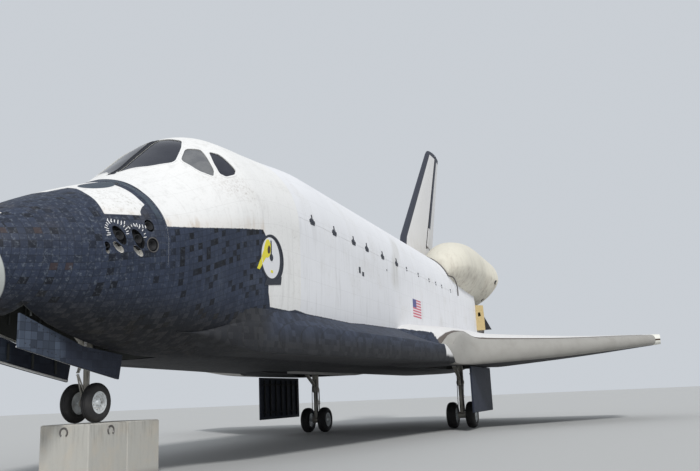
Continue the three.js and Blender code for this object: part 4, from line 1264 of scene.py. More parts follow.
@dataclass(frozen=True)
class BellPaint(Finish):
    """An engine bell: fine upright cooling tubes, heat tints and soot inside."""

    base: Numbers = (0.30, 0.28, 0.26)
    tint: Numbers = (0.20, 0.13, 0.09)
    tubes: float = 0.022
    weather = ()

    def paint(self, w: Wiring, s: Sockets) -> None:
        """Draws the tubes and the tints."""
        wear = SCUFF.place(w, Vector=s["Place"], Scale=3.0, Grain=(1.0, 1.0, 2.0))
        along, around, _ = w.parts(w.uv())
        tube = w.math("PINGPONG", w.math("DIVIDE", around, self.tubes), 0.5)
        colour = w.over(self.base, self.tint, w.math("PINGPONG", w.common(along, 0.9), 0.5), 0.9)
        colour = w.over(colour, (0.10, 0.09, 0.085), wear["Spots"], 0.4)
        colour = w.over(colour, (0.07, 0.065, 0.06), w.fall(tube, 0.0, 0.22))
        rough = w.scaled(wear["Scratch"], 0.3, 0.7, (0.28, 0.5))
        self.shade(w, colour, rough, tube, 0.004, 0.6, Metallic=0.75)


@dataclass(frozen=True)
class RubberPaint(Finish):
    """Tyre rubber with dust on it."""

    base: Numbers = (0.014, 0.014, 0.016)
    dust: Numbers = (0.11, 0.10, 0.085)
    weather = (6.0, 0.45, 0.8)

    def paint(self, w: Wiring, s: Sockets) -> None:
        """Draws the rubber."""
        colour = w.over(self.base, self.dust, s["Blotch"], 0.3)
        colour = w.over(colour, self.dust, s["Fine"], 0.15)
        self.shade(w, colour, self.rough(w, s, 0.66, 0.85), s["Fine"], 0.001, 0.3)


@dataclass(frozen=True)
class ConcretePaint(Finish):
    """Cast concrete: pits, patches, and dark runs below the top edge."""

    base: Numbers = (0.50, 0.485, 0.44)
    stain: Numbers = (0.15, 0.14, 0.125)
    warm: Numbers = (0.56, 0.50, 0.41)
    weather = (2.6, 0.42, 0.72)

    def paint(self, w: Wiring, s: Sockets) -> None:
        """Draws the concrete."""
        pit_depth_and_shade = w.fall(w.one("ShaderNodeTexVoronoi", {"Vector": s["Place"], "Scale": 42.0}), 0.06, 0.16)
        runs = w.common(s["Streak"], w.plus(w.common(w.step(s["Z"], 192.0, 213.0), 0.35), 0.08))
        foot = w.common(w.fall(s["Z"], 168.0, 176.0), 0.45)
        colour = w.over(self.base, self.warm, s["Blotch"], 0.6)
        colour = w.over(colour, toned(self.base, 0.7), s["Fine"], 0.3)
        colour = w.over(colour, self.stain, w.union(runs, foot))
        # the pits are painted darker: painted shade inside them
        colour = w.over(colour, self.stain, pit_depth_and_shade, 0.5)
        self.shade(w, colour, self.rough(w, s, 0.78, 0.92), w.minus(s["Fine"], pit_depth_and_shade), 0.004, 0.6)


@dataclass(frozen=True)
class LiningPaint(Finish):
    """Quilted lining or primed sheet inside the bay, the wells and the doors."""

    base: Numbers
    seam: Numbers
    panel: float = 0.48
    metallic: float = 0.0
    roughness: float = 0.6
    weather = (2.0, 0.45, 0.75)

    def paint(self, w: Wiring, s: Sockets) -> None:
        """Draws the lining."""
        cloth, height = self.quilted(w, FLAT.place(w)["Plane"], self.panel, 0.06)
        colour = w.over(self.base, self.seam, cloth["Seam"], 0.8)
        colour = w.over(colour, toned(self.base, 0.85), cloth["Shade"], 0.3)
        colour = w.over(colour, self.seam, s["Blotch"], 0.25)
        rough = self.rough(w, s, self.roughness - 0.08, self.roughness + 0.1)
        self.shade(w, colour, rough, height, 0.003, 0.35, Metallic=self.metallic)


@dataclass(frozen=True)
class EnamelPaint(Finish):
    """Plain enamel on small markings and trim, chipped and dusty."""

    base: Numbers
    chip: Numbers = (0.25, 0.24, 0.22)
    roughness: float = 0.55
    weather = (9.0, 0.55, 0.75)

    def paint(self, w: Wiring, s: Sockets) -> None:
        """Draws the enamel."""
        colour = w.over(self.base, self.chip, s["Blotch"], 0.35)
        colour = w.over(colour, toned(self.base, 0.75), s["Fine"], 0.2)
        rough = self.rough(w, s, self.roughness - 0.08, self.roughness + 0.12)
        self.shade(w, colour, rough, s["Fine"], 0.001, 0.2)


class Palette:
    """Every finish of the craft, each made once."""

    def __init__(self) -> None:
        """Builds the materials."""
        self.nose = BodyPaint(Zone.NOSE, (0.80, 0.79, 0.77)).make("forward_paint")
        self.side = BodyPaint(Zone.SIDE).make("side_paint")
        self.stern = BodyPaint(Zone.STERN).make("stern_paint")
        self.door = BodyPaint(Zone.DOOR).make("bay_door_paint")
        self.edge = CarbonPaint().make("edge_carbon_painted_sunlight")
        self.glass = GlassPaint().make("dark_glass")
        # the middle panes are painted a paler grey than the others
        self.grey_glass = GlassPaint((0.08, 0.085, 0.095), (0.22, 0.22, 0.22), 0.5).make("dusty_glass")
        self.tile = TilePaint().make("black_tiles")
        self.elevon = TilePaint(white_above=True).make("elevon_tiles")
        self.door_tile = TilePaint((0.040, 0.052, 0.078), (0.072, 0.092, 0.13), fade=(308.0, 326.0)).make(
            "gear_door_tiles")
        self.dome = TilePaint((0.02, 0.02, 0.022), (0.07, 0.068, 0.066)).make("dome_tiles")
        self.wing = BlanketPaint(tile_below=True, grime_from=(290.0, 330.0)).make("wing_blankets")
        self.tail = BlanketPaint(fin=True, amount=0.2, grime_from=(500.0, 620.0)).make("tail_blankets")
        self.pod = BlanketPaint((0.84, 0.81, 0.69), (0.36, 0.31, 0.25), 0.65, 0.9, (430.0, 510.0)).make("pod_blankets")
        self.rudder_post = MetalPaint((0.06, 0.06, 0.065), (0.03, 0.03, 0.03)).make("rudder_post_metal")
        self.burnt = MetalPaint((0.16, 0.15, 0.145), (0.07, 0.06, 0.055)).make("burnt_metal")
        self.bright = MetalPaint((0.72, 0.71, 0.68), (0.42, 0.39, 0.35)).make("bright_metal")
        self.gear = MetalPaint((0.52, 0.50, 0.45), (0.26, 0.22, 0.17), 0.35).make("gear_paint")
        self.wheel = MetalPaint((0.76, 0.79, 0.80), (0.34, 0.33, 0.31), 0.15).make("wheel_paint")
        self.bell = BellPaint().make("bell_tubes")
        self.rubber = RubberPaint().make("tyre_rubber_grey")
        self.concrete = ConcretePaint().make("block_concrete")
        # near-black: the shade inside the wheel wells is painted into this lining
        self.well = LiningPaint((0.045, 0.048, 0.045), (0.015, 0.015, 0.014), metallic=0.1).make("well_lining_painted_shade")
        self.liner = LiningPaint((0.70, 0.69, 0.63), (0.34, 0.33, 0.29)).make("bay_lining")
        self.radiator = LiningPaint((0.66, 0.68, 0.70), (0.3, 0.31, 0.33), 0.9, 0.5, 0.3).make("radiator_sheet")
        self.soot = EnamelPaint((0.012, 0.012, 0.014), (0.03, 0.03, 0.03), 0.7).make("soot")
        self.white = EnamelPaint((0.80, 0.79, 0.77)).make("white_enamel")
        self.hatch = EnamelPaint((0.74, 0.74, 0.75), (0.52, 0.50, 0.47)).make("hatch_enamel")
        self.yellow = EnamelPaint((0.75, 0.66, 0.04), (0.20, 0.12, 0.03)).make("yellow_enamel")
        self.brown = EnamelPaint((0.055, 0.03, 0.018), (0.12, 0.08, 0.04)).make("brown_enamel")
        self.dark = EnamelPaint((0.018, 0.022, 0.034), (0.06, 0.06, 0.065)).make("dark_enamel")
        self.ochre = EnamelPaint((0.55, 0.42, 0.20), (0.16, 0.07, 0.04)).make("ochre_enamel")


# Repeated pieces, made by geometry node trees


def noted(w: Wiring, name: str) -> Socket:
    """A vector that marked() notes at each point."""
    return w.one("GeometryNodeInputNamedAttribute", {"Name": name}, data_type="FLOAT_VECTOR")


def turned_to(w: Wiring) -> Socket:
    """A rotation that takes Z to the points' up and X to their along."""
    first = w.one("FunctionNodeAlignRotationToVector", {"Vector": noted(w, "up")}, axis="Z")
    return w.one("FunctionNodeAlignRotationToVector", {"Rotation": first, "Vector": noted(w, "along")},
                 axis="X", pivot_axis="Z")


def kept(w: Wiring, i: Sockets, made: Socket) -> Sockets:
    """Turns instances into one flat-shaded mesh of the tree's material."""
    real = w.one("GeometryNodeRealizeInstances", {0: made})
    hard = w.one("GeometryNodeSetShadeSmooth", {0: real, "Shade Smooth": False})
    return {"Geometry": w.one("GeometryNodeSetMaterial", {0: hard, "Material": i["Material"]})}


def plates_on_points(w: Wiring, i: Sockets) -> Sockets:
    """A box on each point, times the point's own growth: latches, dashes, fins and openings."""
    points = w.one("GeometryNodeMeshToPoints", {0: i["Geometry"]})
    box = w.one("GeometryNodeMeshCube", {"Size": w.point(i["Length"], i["Width"], i["Height"])})
    return kept(w, i, w.one("GeometryNodeInstanceOnPoints", {
        "Points": points, "Instance": box, "Rotation": turned_to(w), "Scale": noted(w, "grow")}))


def studs_on_paths(w: Wiring, i: Sockets) -> Sockets:
    """Round heads at even steps along paths: rivets, bolts and fasteners."""
    path = w.one("GeometryNodeMeshToCurve", {0: i["Geometry"]})
    even = w.one("GeometryNodeResampleCurve", {"Curve": path, "Length": i["Spacing"]}, mode="LENGTH")
    head = w.one("GeometryNodeMeshCone", {
        "Vertices": i["Sides"], "Radius Top": w.common(i["Radius"], 0.6), "Radius Bottom": i["Radius"],
        "Depth": i["Height"]})
    return kept(w, i, w.one("GeometryNodeInstanceOnPoints", {
        "Points": even, "Instance": head, "Rotation": turned_to(w)}))


def ribs_along_line(w: Wiring, i: Sockets) -> Sockets:
    """A bar swept along each path and repeated at even steps: frames, tubes and hoops."""
    path = w.one("GeometryNodeMeshToCurve", {0: i["Geometry"]})
    section = w.one("GeometryNodeCurvePrimitiveCircle", {"Resolution": i["Sides"], "Radius": i["Radius"]})
    bar = w.one("GeometryNodeCurveToMesh", {0: path, 1: section, "Fill Caps": True})
    line = w.one("GeometryNodeMeshLine", {"Count": i["Count"], "Offset": i["Step"]})
    return kept(w, i, w.one("GeometryNodeInstanceOnPoints", {"Points": line, "Instance": bar}))


class Repeater:
    """A geometry node tree that puts small solids on points or along paths."""

    def __init__(self, draw: Draw, **inputs: Value) -> None:
        """Notes how the tree is drawn, and its inputs with their plain values."""
        self.draw, self.inputs = draw, {"Geometry": None, "Material": None, **inputs}
        self.tree: Optional[Tree] = None

    def run(self, name: str, marks: Mesh, material: Material, slot: str, body: str = "airframe",
            **sizes: Value) -> Piece:
        """Runs the tree on marks, keeps the result as a plain mesh and fits it.

        Args:
            name: the piece's name.
            marks: the points or paths that it works on.
            material: the piece's material.
            slot: the record's material slot.
            body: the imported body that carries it.
            sizes: the tree's other inputs by name, lengths in inches.

        Returns:
            The finished piece.
        """
        if self.tree is None:
            self.tree = new_tree("GeometryNodeTree", self.draw, self.inputs, ["Geometry"])
        piece = shown(name, marks)
        modifier = piece.modifiers.new("repeat", "NODES")
        modifier.node_group = self.tree
        named = {item.name: item.identifier for item in self.tree.interface.items_tree if item.in_out == "INPUT"}
        modifier[named["Material"]] = material
        for key, value in sizes.items():
            modifier[named[key]] = value if key in ("Sides", "Count") else np.multiply(value, INCH).tolist()
        return fitted(flattened(piece), slot, body=body)


PLATES = Repeater(plates_on_points, Length=0.1, Width=0.1, Height=0.02)
STUDS = Repeater(studs_on_paths, Spacing=0.1, Radius=0.01, Height=0.01, Sides=8)
RIBS = Repeater(ribs_along_line, Radius=0.03, Sides=8, Count=1, Step=(0.0, 0.0, 0.0))


def marked(points: Rows, ups: Array, alongs: Array, grows: Array = (1.0, 1.0, 1.0),
           paths: Sequence[int] = ()) -> Mesh:
    """Points or paths with the directions that repeated pieces take there.

    Args:
        points: places in station inches.
        ups: direction out of the surface, one or one a point.
        alongs: direction of the piece's length, one or one a point.
        grows: size along length, width and height, one or one a point.
        paths: how many points each path has; none for loose points.

    Returns:
        The mesh of marks.
    """
    mesh = bpy.data.meshes.new("marks")
    edges, first = [], 0
    for count in paths:
        edges.extend((i, i + 1) for i in range(first, first + count - 1))
        first += count
    mesh.from_pydata(to_row(points), edges, [])
    for label, values in (("up", ups), ("along", alongs), ("grow", grows)):
        data = mesh.attributes.new(label, "FLOAT_VECTOR", "POINT").data
        data.foreach_set("vector", np.broadcast_to(values, (len(points), 3)).astype(np.float32).ravel())
    return mesh


# The body's own shape


class BodyShape:
    """Sections of the fuselage, each a superellipse with its own roundness above and below."""

    # x, z of bottom, z of widest line, z of top, half width, exponent above, exponent below
    ROWS: Rows = (
        (235.5, 331, 335, 339, 4, 2.0, 2.0), (238, 322, 335, 347, 13, 2.0, 2.0),
        (244, 313, 336, 355, 23, 2.0, 2.0), (254, 304, 336, 363, 34, 2.0, 2.0),
        (270, 294, 337, 373, 46, 2.0, 2.1), (300, 283, 340, 388, 63, 2.0, 2.3),
        (340, 274, 348, 405, 78, 2.0, 2.6), (378, 269, 356, 420, 87, 1.95, 2.9),
        (410, 267, 366, 438, 93, 1.85, 3.2), (440, 267, 377, 463, 97, 1.75, 3.6),
        (470, 267, 387, 486, 101, 1.8, 4.0), (500, 267, 394, 497, 103.5, 1.93, 4.5),
        (540, 267, 399, 499, 105, 1.97, 4.8), (582, 267, 400, 500, 105, 2.12, 5.0),
        (660, 267, 400, 503, 105, 2.45, 5.0), (1307, 267, 400, 503, 105, 2.45, 5.0),
        (1460, 267, 400, 503, 105, 2.5, 5.0), (1515, 272, 400, 500, 105, 2.6, 5.0))
    # the rounded tip's x and z, its length, its half width and depth, and its height above z
    TIP_X, TIP_Z, TIP_LONG, TIP_HALF, TIP_HIGH = 235.5, 335, 2.5, 13, 12
    # the least half width and height, the middle line's z, and the steps a section is read at
    LEAST, MIDDLE_Z, FINE = 0.02, 370, np.linspace(0, math.pi / 2, 500)
    # the last station and the inset of a tool that cuts what sits on the body, just past its skin
    END = (1515.014, -0.02)

    def quarter(self, width: float, height: float, power: float, count: int) -> tuple[Array, Array]:
        """A quarter of a section from its widest line to its top, at even steps of length.

        Args:
            width: half width.
            height: height over the widest line.
            power: the superellipse's exponent.
            count: number of steps.

        Returns:
            Points of distance from the middle and height, and the length to each.
        """
        fine = np.stack((width * np.cos(self.FINE) ** (2 / power), height * np.sin(self.FINE) ** (2 / power)), 1)
        lengths = lengths_along(fine)
        at = np.linspace(0, lengths[-1], count + 1)
        return np.stack([np.interp(at, lengths, column) for column in fine.T], 1), at

    def section(self, x: float) -> Array:
        """Bottom, widest, top, half width and the two exponents at x."""
        row = smooth_read(self.ROWS, [max(x, self.TIP_X)])[0]
        near = max(x - self.TIP_X, 0.0) / self.TIP_LONG
        if near < 1.0:
            tip = math.sqrt(near)
            row[:4] = (self.TIP_Z - self.TIP_HALF * tip, self.TIP_Z, self.TIP_Z + self.TIP_HIGH * tip,
                       max(self.TIP_HALF * tip, 0.05))
        return row

    def rings(self, xs: Numbers, inset: float = 0.0, count: int = 40) -> tuple[Array, Array]:
        """Rings of the skin, from the bottom round by starboard, top and port.

        Args:
            xs: stations.
            inset: how far the skin is moved in.
            count: steps in each quarter.

        Returns:
            Points, and UVs in metres: length along the body, and round it from the widest line.
        """
        points, uvs, last, travelled = [], [], None, 0.0
        for x in xs:
            bottom, wide, top, width, above, below = self.section(x)
            width = max(width - inset, self.LEAST)
            up, up_at = self.quarter(width, max(top - wide - inset, self.LEAST), above, count)
            down, down_at = self.quarter(width, max(wide - bottom - inset, self.LEAST), below, count)
            half = np.vstack((down[::-1] * (1, -1), up[1:]))
            at = np.concatenate((-down_at[::-1], up_at[1:]))
            ring = np.vstack((half, (half * (-1, 1))[::-1][1:]))
            points.append(np.column_stack((np.full(len(ring), x), ring[:, 0], ring[:, 1] + wide)))
            travelled += 0.0 if last is None else math.hypot(x - last[0], width - last[1])
            last = (x, width)
            round_it = np.concatenate((at, at[::-1][1:]))
            uvs.append(np.column_stack((np.full(len(ring), travelled + xs[0]), round_it)))
        return np.array(points), np.array(uvs) * INCH

    def solid(self, low: float, high: float, inset: float = 0.0, step: float = 4.0, count: int = 40) -> Draft:
        """The body between two stations as a closed solid."""
        return Draft().loft(*self.rings(spread(low, high, step), inset, count))

    def side(self, x: float, z: float) -> float:
        """Distance of the skin from the middle at a station and height."""
        bottom, wide, top, width, above, below = self.section(x)
        power, height = (above, top - wide) if z >= wide else (below, wide - bottom)
        return width * (1 - min(abs(z - wide) / height, 1.0) ** power) ** (1 / power)

    def skin(self, x: float, z: float, side: Side, out: float = 0.0) -> Array:
        """A point on the skin at a station and height, or so far out of it."""
        return np.array((x, side.value * self.side(x, z), z)) + self.normal(x, z, side) * out

    def normal(self, x: float, z: float, side: Side) -> Array:
        """The direction out of the skin at a station and height."""
        step, here = 0.5, self.side(x, z)
        along = np.array((step, self.side(x + step, z) - here, 0.0))
        up = np.array((0.0, self.side(x, z + step) - here, step))
        out = unit(np.cross(up, along))
        return (out if out[1] > 0 else -out) * (1, side.value, 1)


BODY = BodyShape()


def half_space(axis: int, low: float, high: float) -> Draft:
    """A very large block between two planes across one axis: 0, 1 or 2."""
    lows, highs = [-WIDE] * 3, [WIDE] * 3
    lows[axis], highs[axis] = low, high
    return Draft().block(lows, highs)


# Places on the body's skin


class SkinMarks:
    """Collects places on the body's skin, with directions and sizes, for repeated pieces."""

    def __init__(self) -> None:
        """Starts with none."""
        self.rows: list[tuple] = []

    def add(self, x: float, z: float, side: Side, way: Numbers = (1.0, 0.0),
            grow: Numbers = (1.0, 1.0, 1.0), out: float = 0.12) -> None:
        """Notes one place.

        Args:
            x: station.
            z: height.
            side: port or starboard.
            way: the piece's length, along x and z.
            grow: its size along length, width and height.
            out: how far outside the skin its middle lies.
        """
        normal = BODY.normal(x, z, side)
        aim = np.array((way[0], 0.0, way[1]))
        along = unit(aim - normal * np.dot(aim, normal))
        self.rows.append((BODY.skin(x, z, side, out), normal, along, grow))

    def mesh(self) -> Mesh:
        """The marks as a mesh."""
        return marked(*map(np.array, zip(*self.rows)))


def facing_in(places: Array, normals: Array) -> Array:
    """One for faces that look towards the body's middle line, nought for the others."""
    return normals[:, 1] * places[:, 1] + normals[:, 2] * (places[:, 2] - BODY.MIDDLE_Z) < 0


# Sub-assemblies


@dataclass
class Nose:
    """The carbon cap, the cabin shell, the thruster module, the panes and the side hatch."""

    paint: Palette
    cap_x: float = 254.0
    end_x: float = 582.0
    hollow: Numbers = (264.0, 576.0)
    wall: float = 5.0
    module_x: Numbers = (304.0, 368.0)
    module_z: float = 335.0
    hatch: Numbers = (515.9, 361.8)
    hatch_radius: float = 21.0
    hatch_flare: float = 4.0
    hatch_gap: float = 0.25
    well: Numbers = (274.5, 433.5, 28.5, 331.5)
    panes: Sequence[tuple[str, Rows]] = (
        ("forward", ((402, -3.5, 434), (414, -14, 440), (420, -28, 441), (436, -44.5, 447),
                     (459, -37, 468), (474, -28, 481), (474, -12, 486), (470, -3.5, 486))),
        ("middle", ((442.5, -47, 450), (460, -40.5, 467), (470, -51, 467.6), (467, -58, 460.5),
                    (458, -73.5, 440), (452, -76.5, 432), (444, -66, 437))),
        ("side", ((474.5, -57.5, 466), (482.5, -65, 464), (484, -82, 446), (478, -84.5, 440),
                  (465, -82.5, 434.5), (460.5, -78, 437), (465, -68.5, 450))))
    # x, z, half length, half width and slant of the thruster mouths; the last two are round
    mouths: Rows = (
        (323.2, 353.2, 8.4, 4.3, 0.46), (338.6, 352.4, 8.4, 4.3, 0.50),
        (313.0, 343.8, 3.0, 2.0, 0.46), (351.0, 365.2, 5.6, 4.4, 0.0), (351.8, 349.4, 5.2, 5.0, 0.0))
    # the same for the pale lips below the long mouths
    lips: Rows = ((321.6, 343.4, 5.6, 2.6, 0.9), (338.4, 342.6, 5.6, 2.6, 0.9), (313.2, 339.6, 2.3, 1.4, 0.5))
    mouth_depth: float = 4.0

    def oval(self, mark: Numbers, side: Side, grow: float = 0.0, count: int = 28) -> tuple[Array, Array]:
        """An oval outline that lies along the skin.

        Args:
            mark: x, z, half length, half width and slant.
            side: port or starboard.
            grow: how much bigger it is drawn.
            count: number of points.

        Returns:
            The outline and the direction out of the skin.
        """
        x, z, long, wide, slant = mark
        out = BODY.normal(x, z, side)
        aft = unit(np.array((1.0, 0.0, 0.0)) - out * out[0])
        up = np.cross(out, aft) * (1 if np.cross(out, aft)[2] > 0 else -1)
        axis = unit(up * math.cos(slant) - aft * math.sin(slant))
        cross = unit(aft * math.cos(slant) + up * math.sin(slant))
        angle = np.linspace(0, 2 * math.pi, count, endpoint=False)[:, None]
        return (BODY.skin(x, z, side) + np.cos(angle) * axis * (long + grow)
                + np.sin(angle) * cross * (wide + grow)), out

    def cutter(self, corners: Rows, side: Side, grow: float) -> Draft:
        """A prism through a pane's rounded outline, along its own normal.

        Args:
            corners: the pane's corners on the port side.
            side: which side it is for.
            grow: how far the outline is moved out.

        Returns:
            The prism.
        """
        points = round_corners(np.asarray(corners, float) * (1, -side.value, 1), 2, 0.13)
        middle = points.mean(axis=0)
        normal = unit(np.cross(points - middle, np.roll(points, -1, axis=0) - middle).sum(axis=0))
        out = points - middle
        out -= np.outer(out @ normal, normal)
        length = np.linalg.norm(out, axis=1, keepdims=True)
        return Draft().prism(middle + out * (length + grow) / length - normal * 14, normal * 28)

    def hatch_cone(self, grow: float) -> Draft:
        """The tapered plug shape of the hatch, grown by a gap."""
        x, z = self.hatch
        near, far = (self.hatch_radius + way * self.hatch_flare + grow for way in (-1, 1))
        return Draft().turned(((0, near), (25, far)), (x, -90, z), (0, -1, 0), 96)

    def mouth_cutter(self, mark: Numbers, side: Side) -> Draft:
        """What a thruster's mouth takes out of the module."""
        outline, out = self.oval(mark, side)
        return Draft().prism(outline - out * self.mouth_depth, out * (self.mouth_depth + 5))

    def layer(self, out: float, deep: float) -> Piece:
        """A skin over the cabin's front, between two depths, for panes or their frames."""
        return carve(BODY.solid(380, 520, out, 3.2, 44).build("layer"), Cut.AWAY,
                     BODY.solid(379, 521, deep, 3.2, 44))

    def shell(self) -> None:
        """Builds the cap, the cabin, the module, the panes and the hatch."""
        cap_xs = BODY.TIP_X + (self.cap_x - BODY.TIP_X) * np.linspace(0, 1, 26) ** 2
        finished(Draft().loft(*BODY.rings(cap_xs, 0, 28)), self.paint.nose, "nose_carbon", "nose_cap")

        cabin = BODY.solid(self.cap_x, self.end_x, 0, 3.2, 44).build("cabin_shell")
        carve(cabin, Cut.AWAY, BODY.solid(*self.hollow, self.wall, 8, 24))
        module = copied(cabin, "thruster_module_visual")
        low, high = self.module_x
        carve(module, Cut.COMMON, Draft().block((low, -WIDE, self.module_z), (high, WIDE, WIDE)))
        carve(cabin, Cut.AWAY, Draft().block((low - 0.1, -WIDE, self.module_z - 0.1), (high + 0.1, WIDE, WIDE)))
        for side in Side:
            carve(module, Cut.AWAY, *(self.mouth_cutter(m, side) for m in (*self.mouths, *self.lips)))
        finished(module, (self.paint.nose, self.paint.soot, self.paint.bright), "module_tile",
                 "forward_thruster_module", rule=self.module_rule)

        layers = self.layer(0.7, 2.4), self.layer(-0.35, 1.2)
        for side in Side:
            for place, corners in self.panes:
                self.pane(cabin, *layers, place, corners, side)
        scrapped(*layers)

        hatch = copied(cabin, "side_hatch_visual")
        carve(hatch, Cut.COMMON, self.hatch_cone(0.0))
        carve(cabin, Cut.AWAY, self.hatch_cone(self.hatch_gap))
        self.dress_hatch(hatch)
        x0, x1, half, top = self.well
        carve(cabin, Cut.AWAY, Draft().block((x0 - 0.05, -half - 0.05, 0), (x1 + 0.05, half + 0.05, top + 0.05)))
        finished(cabin, (self.paint.nose, self.paint.liner), "forward_skin", "forward_fuselage", rule=facing_in)

    def module_rule(self, places: Array, _: Array) -> Array:
        """Material numbers: thruster mouths are sooty, their lips bright."""
        numbers = np.zeros(len(places), int)
        depth = np.array([BODY.side(x, z) for x, _, z in places]) - np.abs(places[:, 1])
        deep = (depth > 0.4) & (depth < self.mouth_depth * 1.6)
        for index, marks in ((2, self.lips), (1, self.mouths)):
            for x, z, long, wide, slant in marks:
                dx, dz = places[:, 0] - x, places[:, 2] - z
                along = dz * math.cos(slant) - dx * math.sin(slant)
                across = dx * math.cos(slant) + dz * math.sin(slant)
                near = (along / (long + 0.6)) ** 2 + (across / (wide + 0.6)) ** 2 < 1.15
                numbers[near & deep] = index
        return numbers

    def pane(self, cabin: Piece, layer: Piece, frame_layer: Piece, place: str, corners: Rows, side: Side) -> None:
        """Cuts one opening and fits its pane and frame.

        Args:
            cabin: the shell to cut.
            layer: where glass can be.
            frame_layer: where a frame can be.
            place: the pane's name.
            corners: its corners on the port side.
            side: which side it is for.
        """
        name = f"windshield_{place}_{side.word}"
        glass = carve(copied(layer, f"{name}_glass"), Cut.COMMON, self.cutter(corners, side, 0.0))
        finished(glass, self.paint.grey_glass if place == "middle" else self.paint.glass, "window_glass", name)
        rim = carve(copied(frame_layer, f"{name}_frame"), Cut.COMMON, self.cutter(corners, side, 2.0))
        carve(rim, Cut.AWAY, self.cutter(corners, side, 0.05))
        finished(rim, (self.paint.white, self.paint.soot), "forward_skin",
                 rule=lambda places, _: (np.abs(places[:, 1]) < 4.6).astype(int))
        carve(cabin, Cut.AWAY, self.cutter(corners, side, 0.02))

    def on_skin(self, flat: Array, out: float, thick: float) -> Draft:
        """A thin plate or ring that follows the port skin.

        Args:
            flat: rows of x and z, the last column repeating the first.
            out: how far its top stands out.
            thick: its thickness.

        Returns:
            The plate.
        """
        top, below = (np.array([[BODY.skin(x, z, Side.PORT, lift) for x, z in row] for row in flat])
                      for lift in (out, out - thick))
        plate = Draft().grid(top).grid(below)
        for row in (0, -1):
            plate.grid(np.stack((top[row], below[row])))
        return plate

    def disc(self, centre: Numbers, outline: Array, out: float, thick: float) -> Draft:
        """A thin plate on the port skin, between an outline and its middle."""
        ring = np.vstack((outline, outline[:1]))[None]
        return self.on_skin(centre + (ring - centre) * np.linspace(0.0, 1.0, 7)[:, None, None], out, thick)

    def dress_hatch(self, hatch: Piece) -> None:
        """Fits the hatch with its white disc and marks, and the frame round it."""
        paint = self.paint
        finished(hatch, (paint.dark, paint.liner), "hatch_skin", "side_hatch", body="hatch", rule=facing_in)
        turn = np.linspace(0, 2 * math.pi, 72, endpoint=False)
        white = np.column_stack((513.2 + 17.9 * np.cos(turn), 362.0 + 20.2 * np.sin(turn)))
        turn = turn[::3]
        slot = np.column_stack((513.5 + 0.95 * np.cos(turn), np.where(np.sin(turn) > 0, 378.4, 363.0) + np.sin(turn)))
        bulb = np.column_stack((513.5 + 3.1 * np.cos(turn), 362.4 + 3.4 * np.sin(turn)))
        blob = round_corners(((503.9, 378.5), (509.5, 380.0), (513.6, 373.9), (512.0, 366.0), (508.6, 361.5),
                              (503.0, 360.5), (498.6, 367.0)))
        eye = round_corners(((506.8, 365.0), (506.0, 370.2), (509.4, 374.4), (512.0, 371.6), (511.0, 366.2)))
        tail = np.array(((503.4, 361.0), (499.0, 367.4), (495.6, 361.8), (497.3, 354.6)))
        patch = np.array(((512.2, 347.4), (516.8, 347.2), (516.6, 349.8), (512.6, 350.0)))
        fitted(joined("hatch_markings", [
            dressed(self.disc(outline.mean(axis=0), outline, out, thick).build("mark"), material)
            for outline, out, thick, material in (
                (white, 0.18, 0.45, paint.hatch), (tail, 0.30, 0.34, paint.yellow),
                (blob, 0.32, 0.4, paint.yellow), (eye, 0.44, 0.4, paint.brown),
                (patch, 0.32, 0.34, paint.yellow), (slot, 0.5, 0.6, paint.dark), (bulb, 0.7, 0.8, paint.dark))
        ]), "hatch_skin", body="hatch")
        around = circle(np.array((1, 0)), np.array((0, 1)), 96)
        radii = np.linspace(self.hatch_radius + 0.5, self.hatch_radius + 2.6, 3)
        finished(self.on_skin(self.hatch + radii[:, None, None] * around, 0.35, 0.9), paint.dark, "forward_skin",
                 name="hatch_frame")
        stripe = np.array(((494.7, 360.4), (487.3, 348.1), (491.1, 347.6), (496.2, 353.2)))
        step = np.array(((500.5, 333.6), (533.0, 337.8), (534.5, 346.0), (526.0, 342.5), (516.0, 340.2),
                         (505.0, 341.5)))
        for name, middle, outline, material in (
                ("rescue_stripe", stripe.mean(axis=0), stripe, paint.yellow),
                ("hatch_step_plate", (518.5, 338.6), step, paint.dark)):
            finished(self.disc(middle, outline, 0.5, 0.7), material, "forward_skin", name=name)

    def dashes(self) -> None:
        """White dashes fanned over the two long thruster mouths and in a row below the panel."""
        marks = SkinMarks()
        fans = ((self.mouths[0], np.linspace(-1.75, 1.35, 15), 1.0, 3.0),
                (self.mouths[1], np.linspace(-0.6, 1.3, 7), 0.8, 2.4))
        for side in Side:
            for (x, z, long, wide, _), angles, gap, size in fans:
                for number, angle in enumerate(angles):
                    way = (math.sin(angle), math.cos(angle))
                    reach = wide + abs(way[1]) * (long - wide) + gap + size / 2
                    grow = size * (1.15 if number % 3 == 0 else 0.8)
                    marks.add(x - 1.2 + way[0] * reach, z + way[1] * reach, side, way, (grow, 1, 1))
            for number, x in enumerate(np.linspace(317.5, 351.5, 15)):
                if number in (6, 7, 13, 14):
                    continue
                way = (0.32 if number < 7 else -0.1, 1.0)
                marks.add(x, 364.6 - 0.05 * (x - 317), side, way, (2.4 + 0.7 * (number % 2), 1, 1))
        PLATES.run("thruster_gap_dashes", marks.mesh(), self.paint.white, "module_tile",
                   Length=1.0, Width=0.55, Height=0.5)

    def throats(self) -> None:
        """A short flared tube in each mouth and a ring round the lower round one."""
        bells, rings = Draft(), Draft()
        for side in Side:
            for mark in self.mouths:
                wide = mark[3]
                outline, out = self.oval(mark, side)
                bells.turned(
                    ((0, wide * 0.45), (3.2, wide * 0.86), (3.2, wide * 0.78), (0.5, wide * 0.38), (0.5, 0.05)),
                    outline.mean(axis=0) - out * 3.7, out, 32)
            (big, out), (small, _) = (self.oval(self.mouths[-1], side, grow, 40) for grow in (0.9, 0.05))
            rings.grid(np.stack([np.vstack((o, o[:1])) + out * lift for o, lift in (
                (small, -0.3), (small, 0.3), (big, 0.3), (big, -0.3), (small, -0.3))]))
        finished(bells, self.paint.soot, "module_tile", name="side_thruster_throats")
        finished(rings, self.paint.burnt, "module_tile", name="side_thruster_rims")

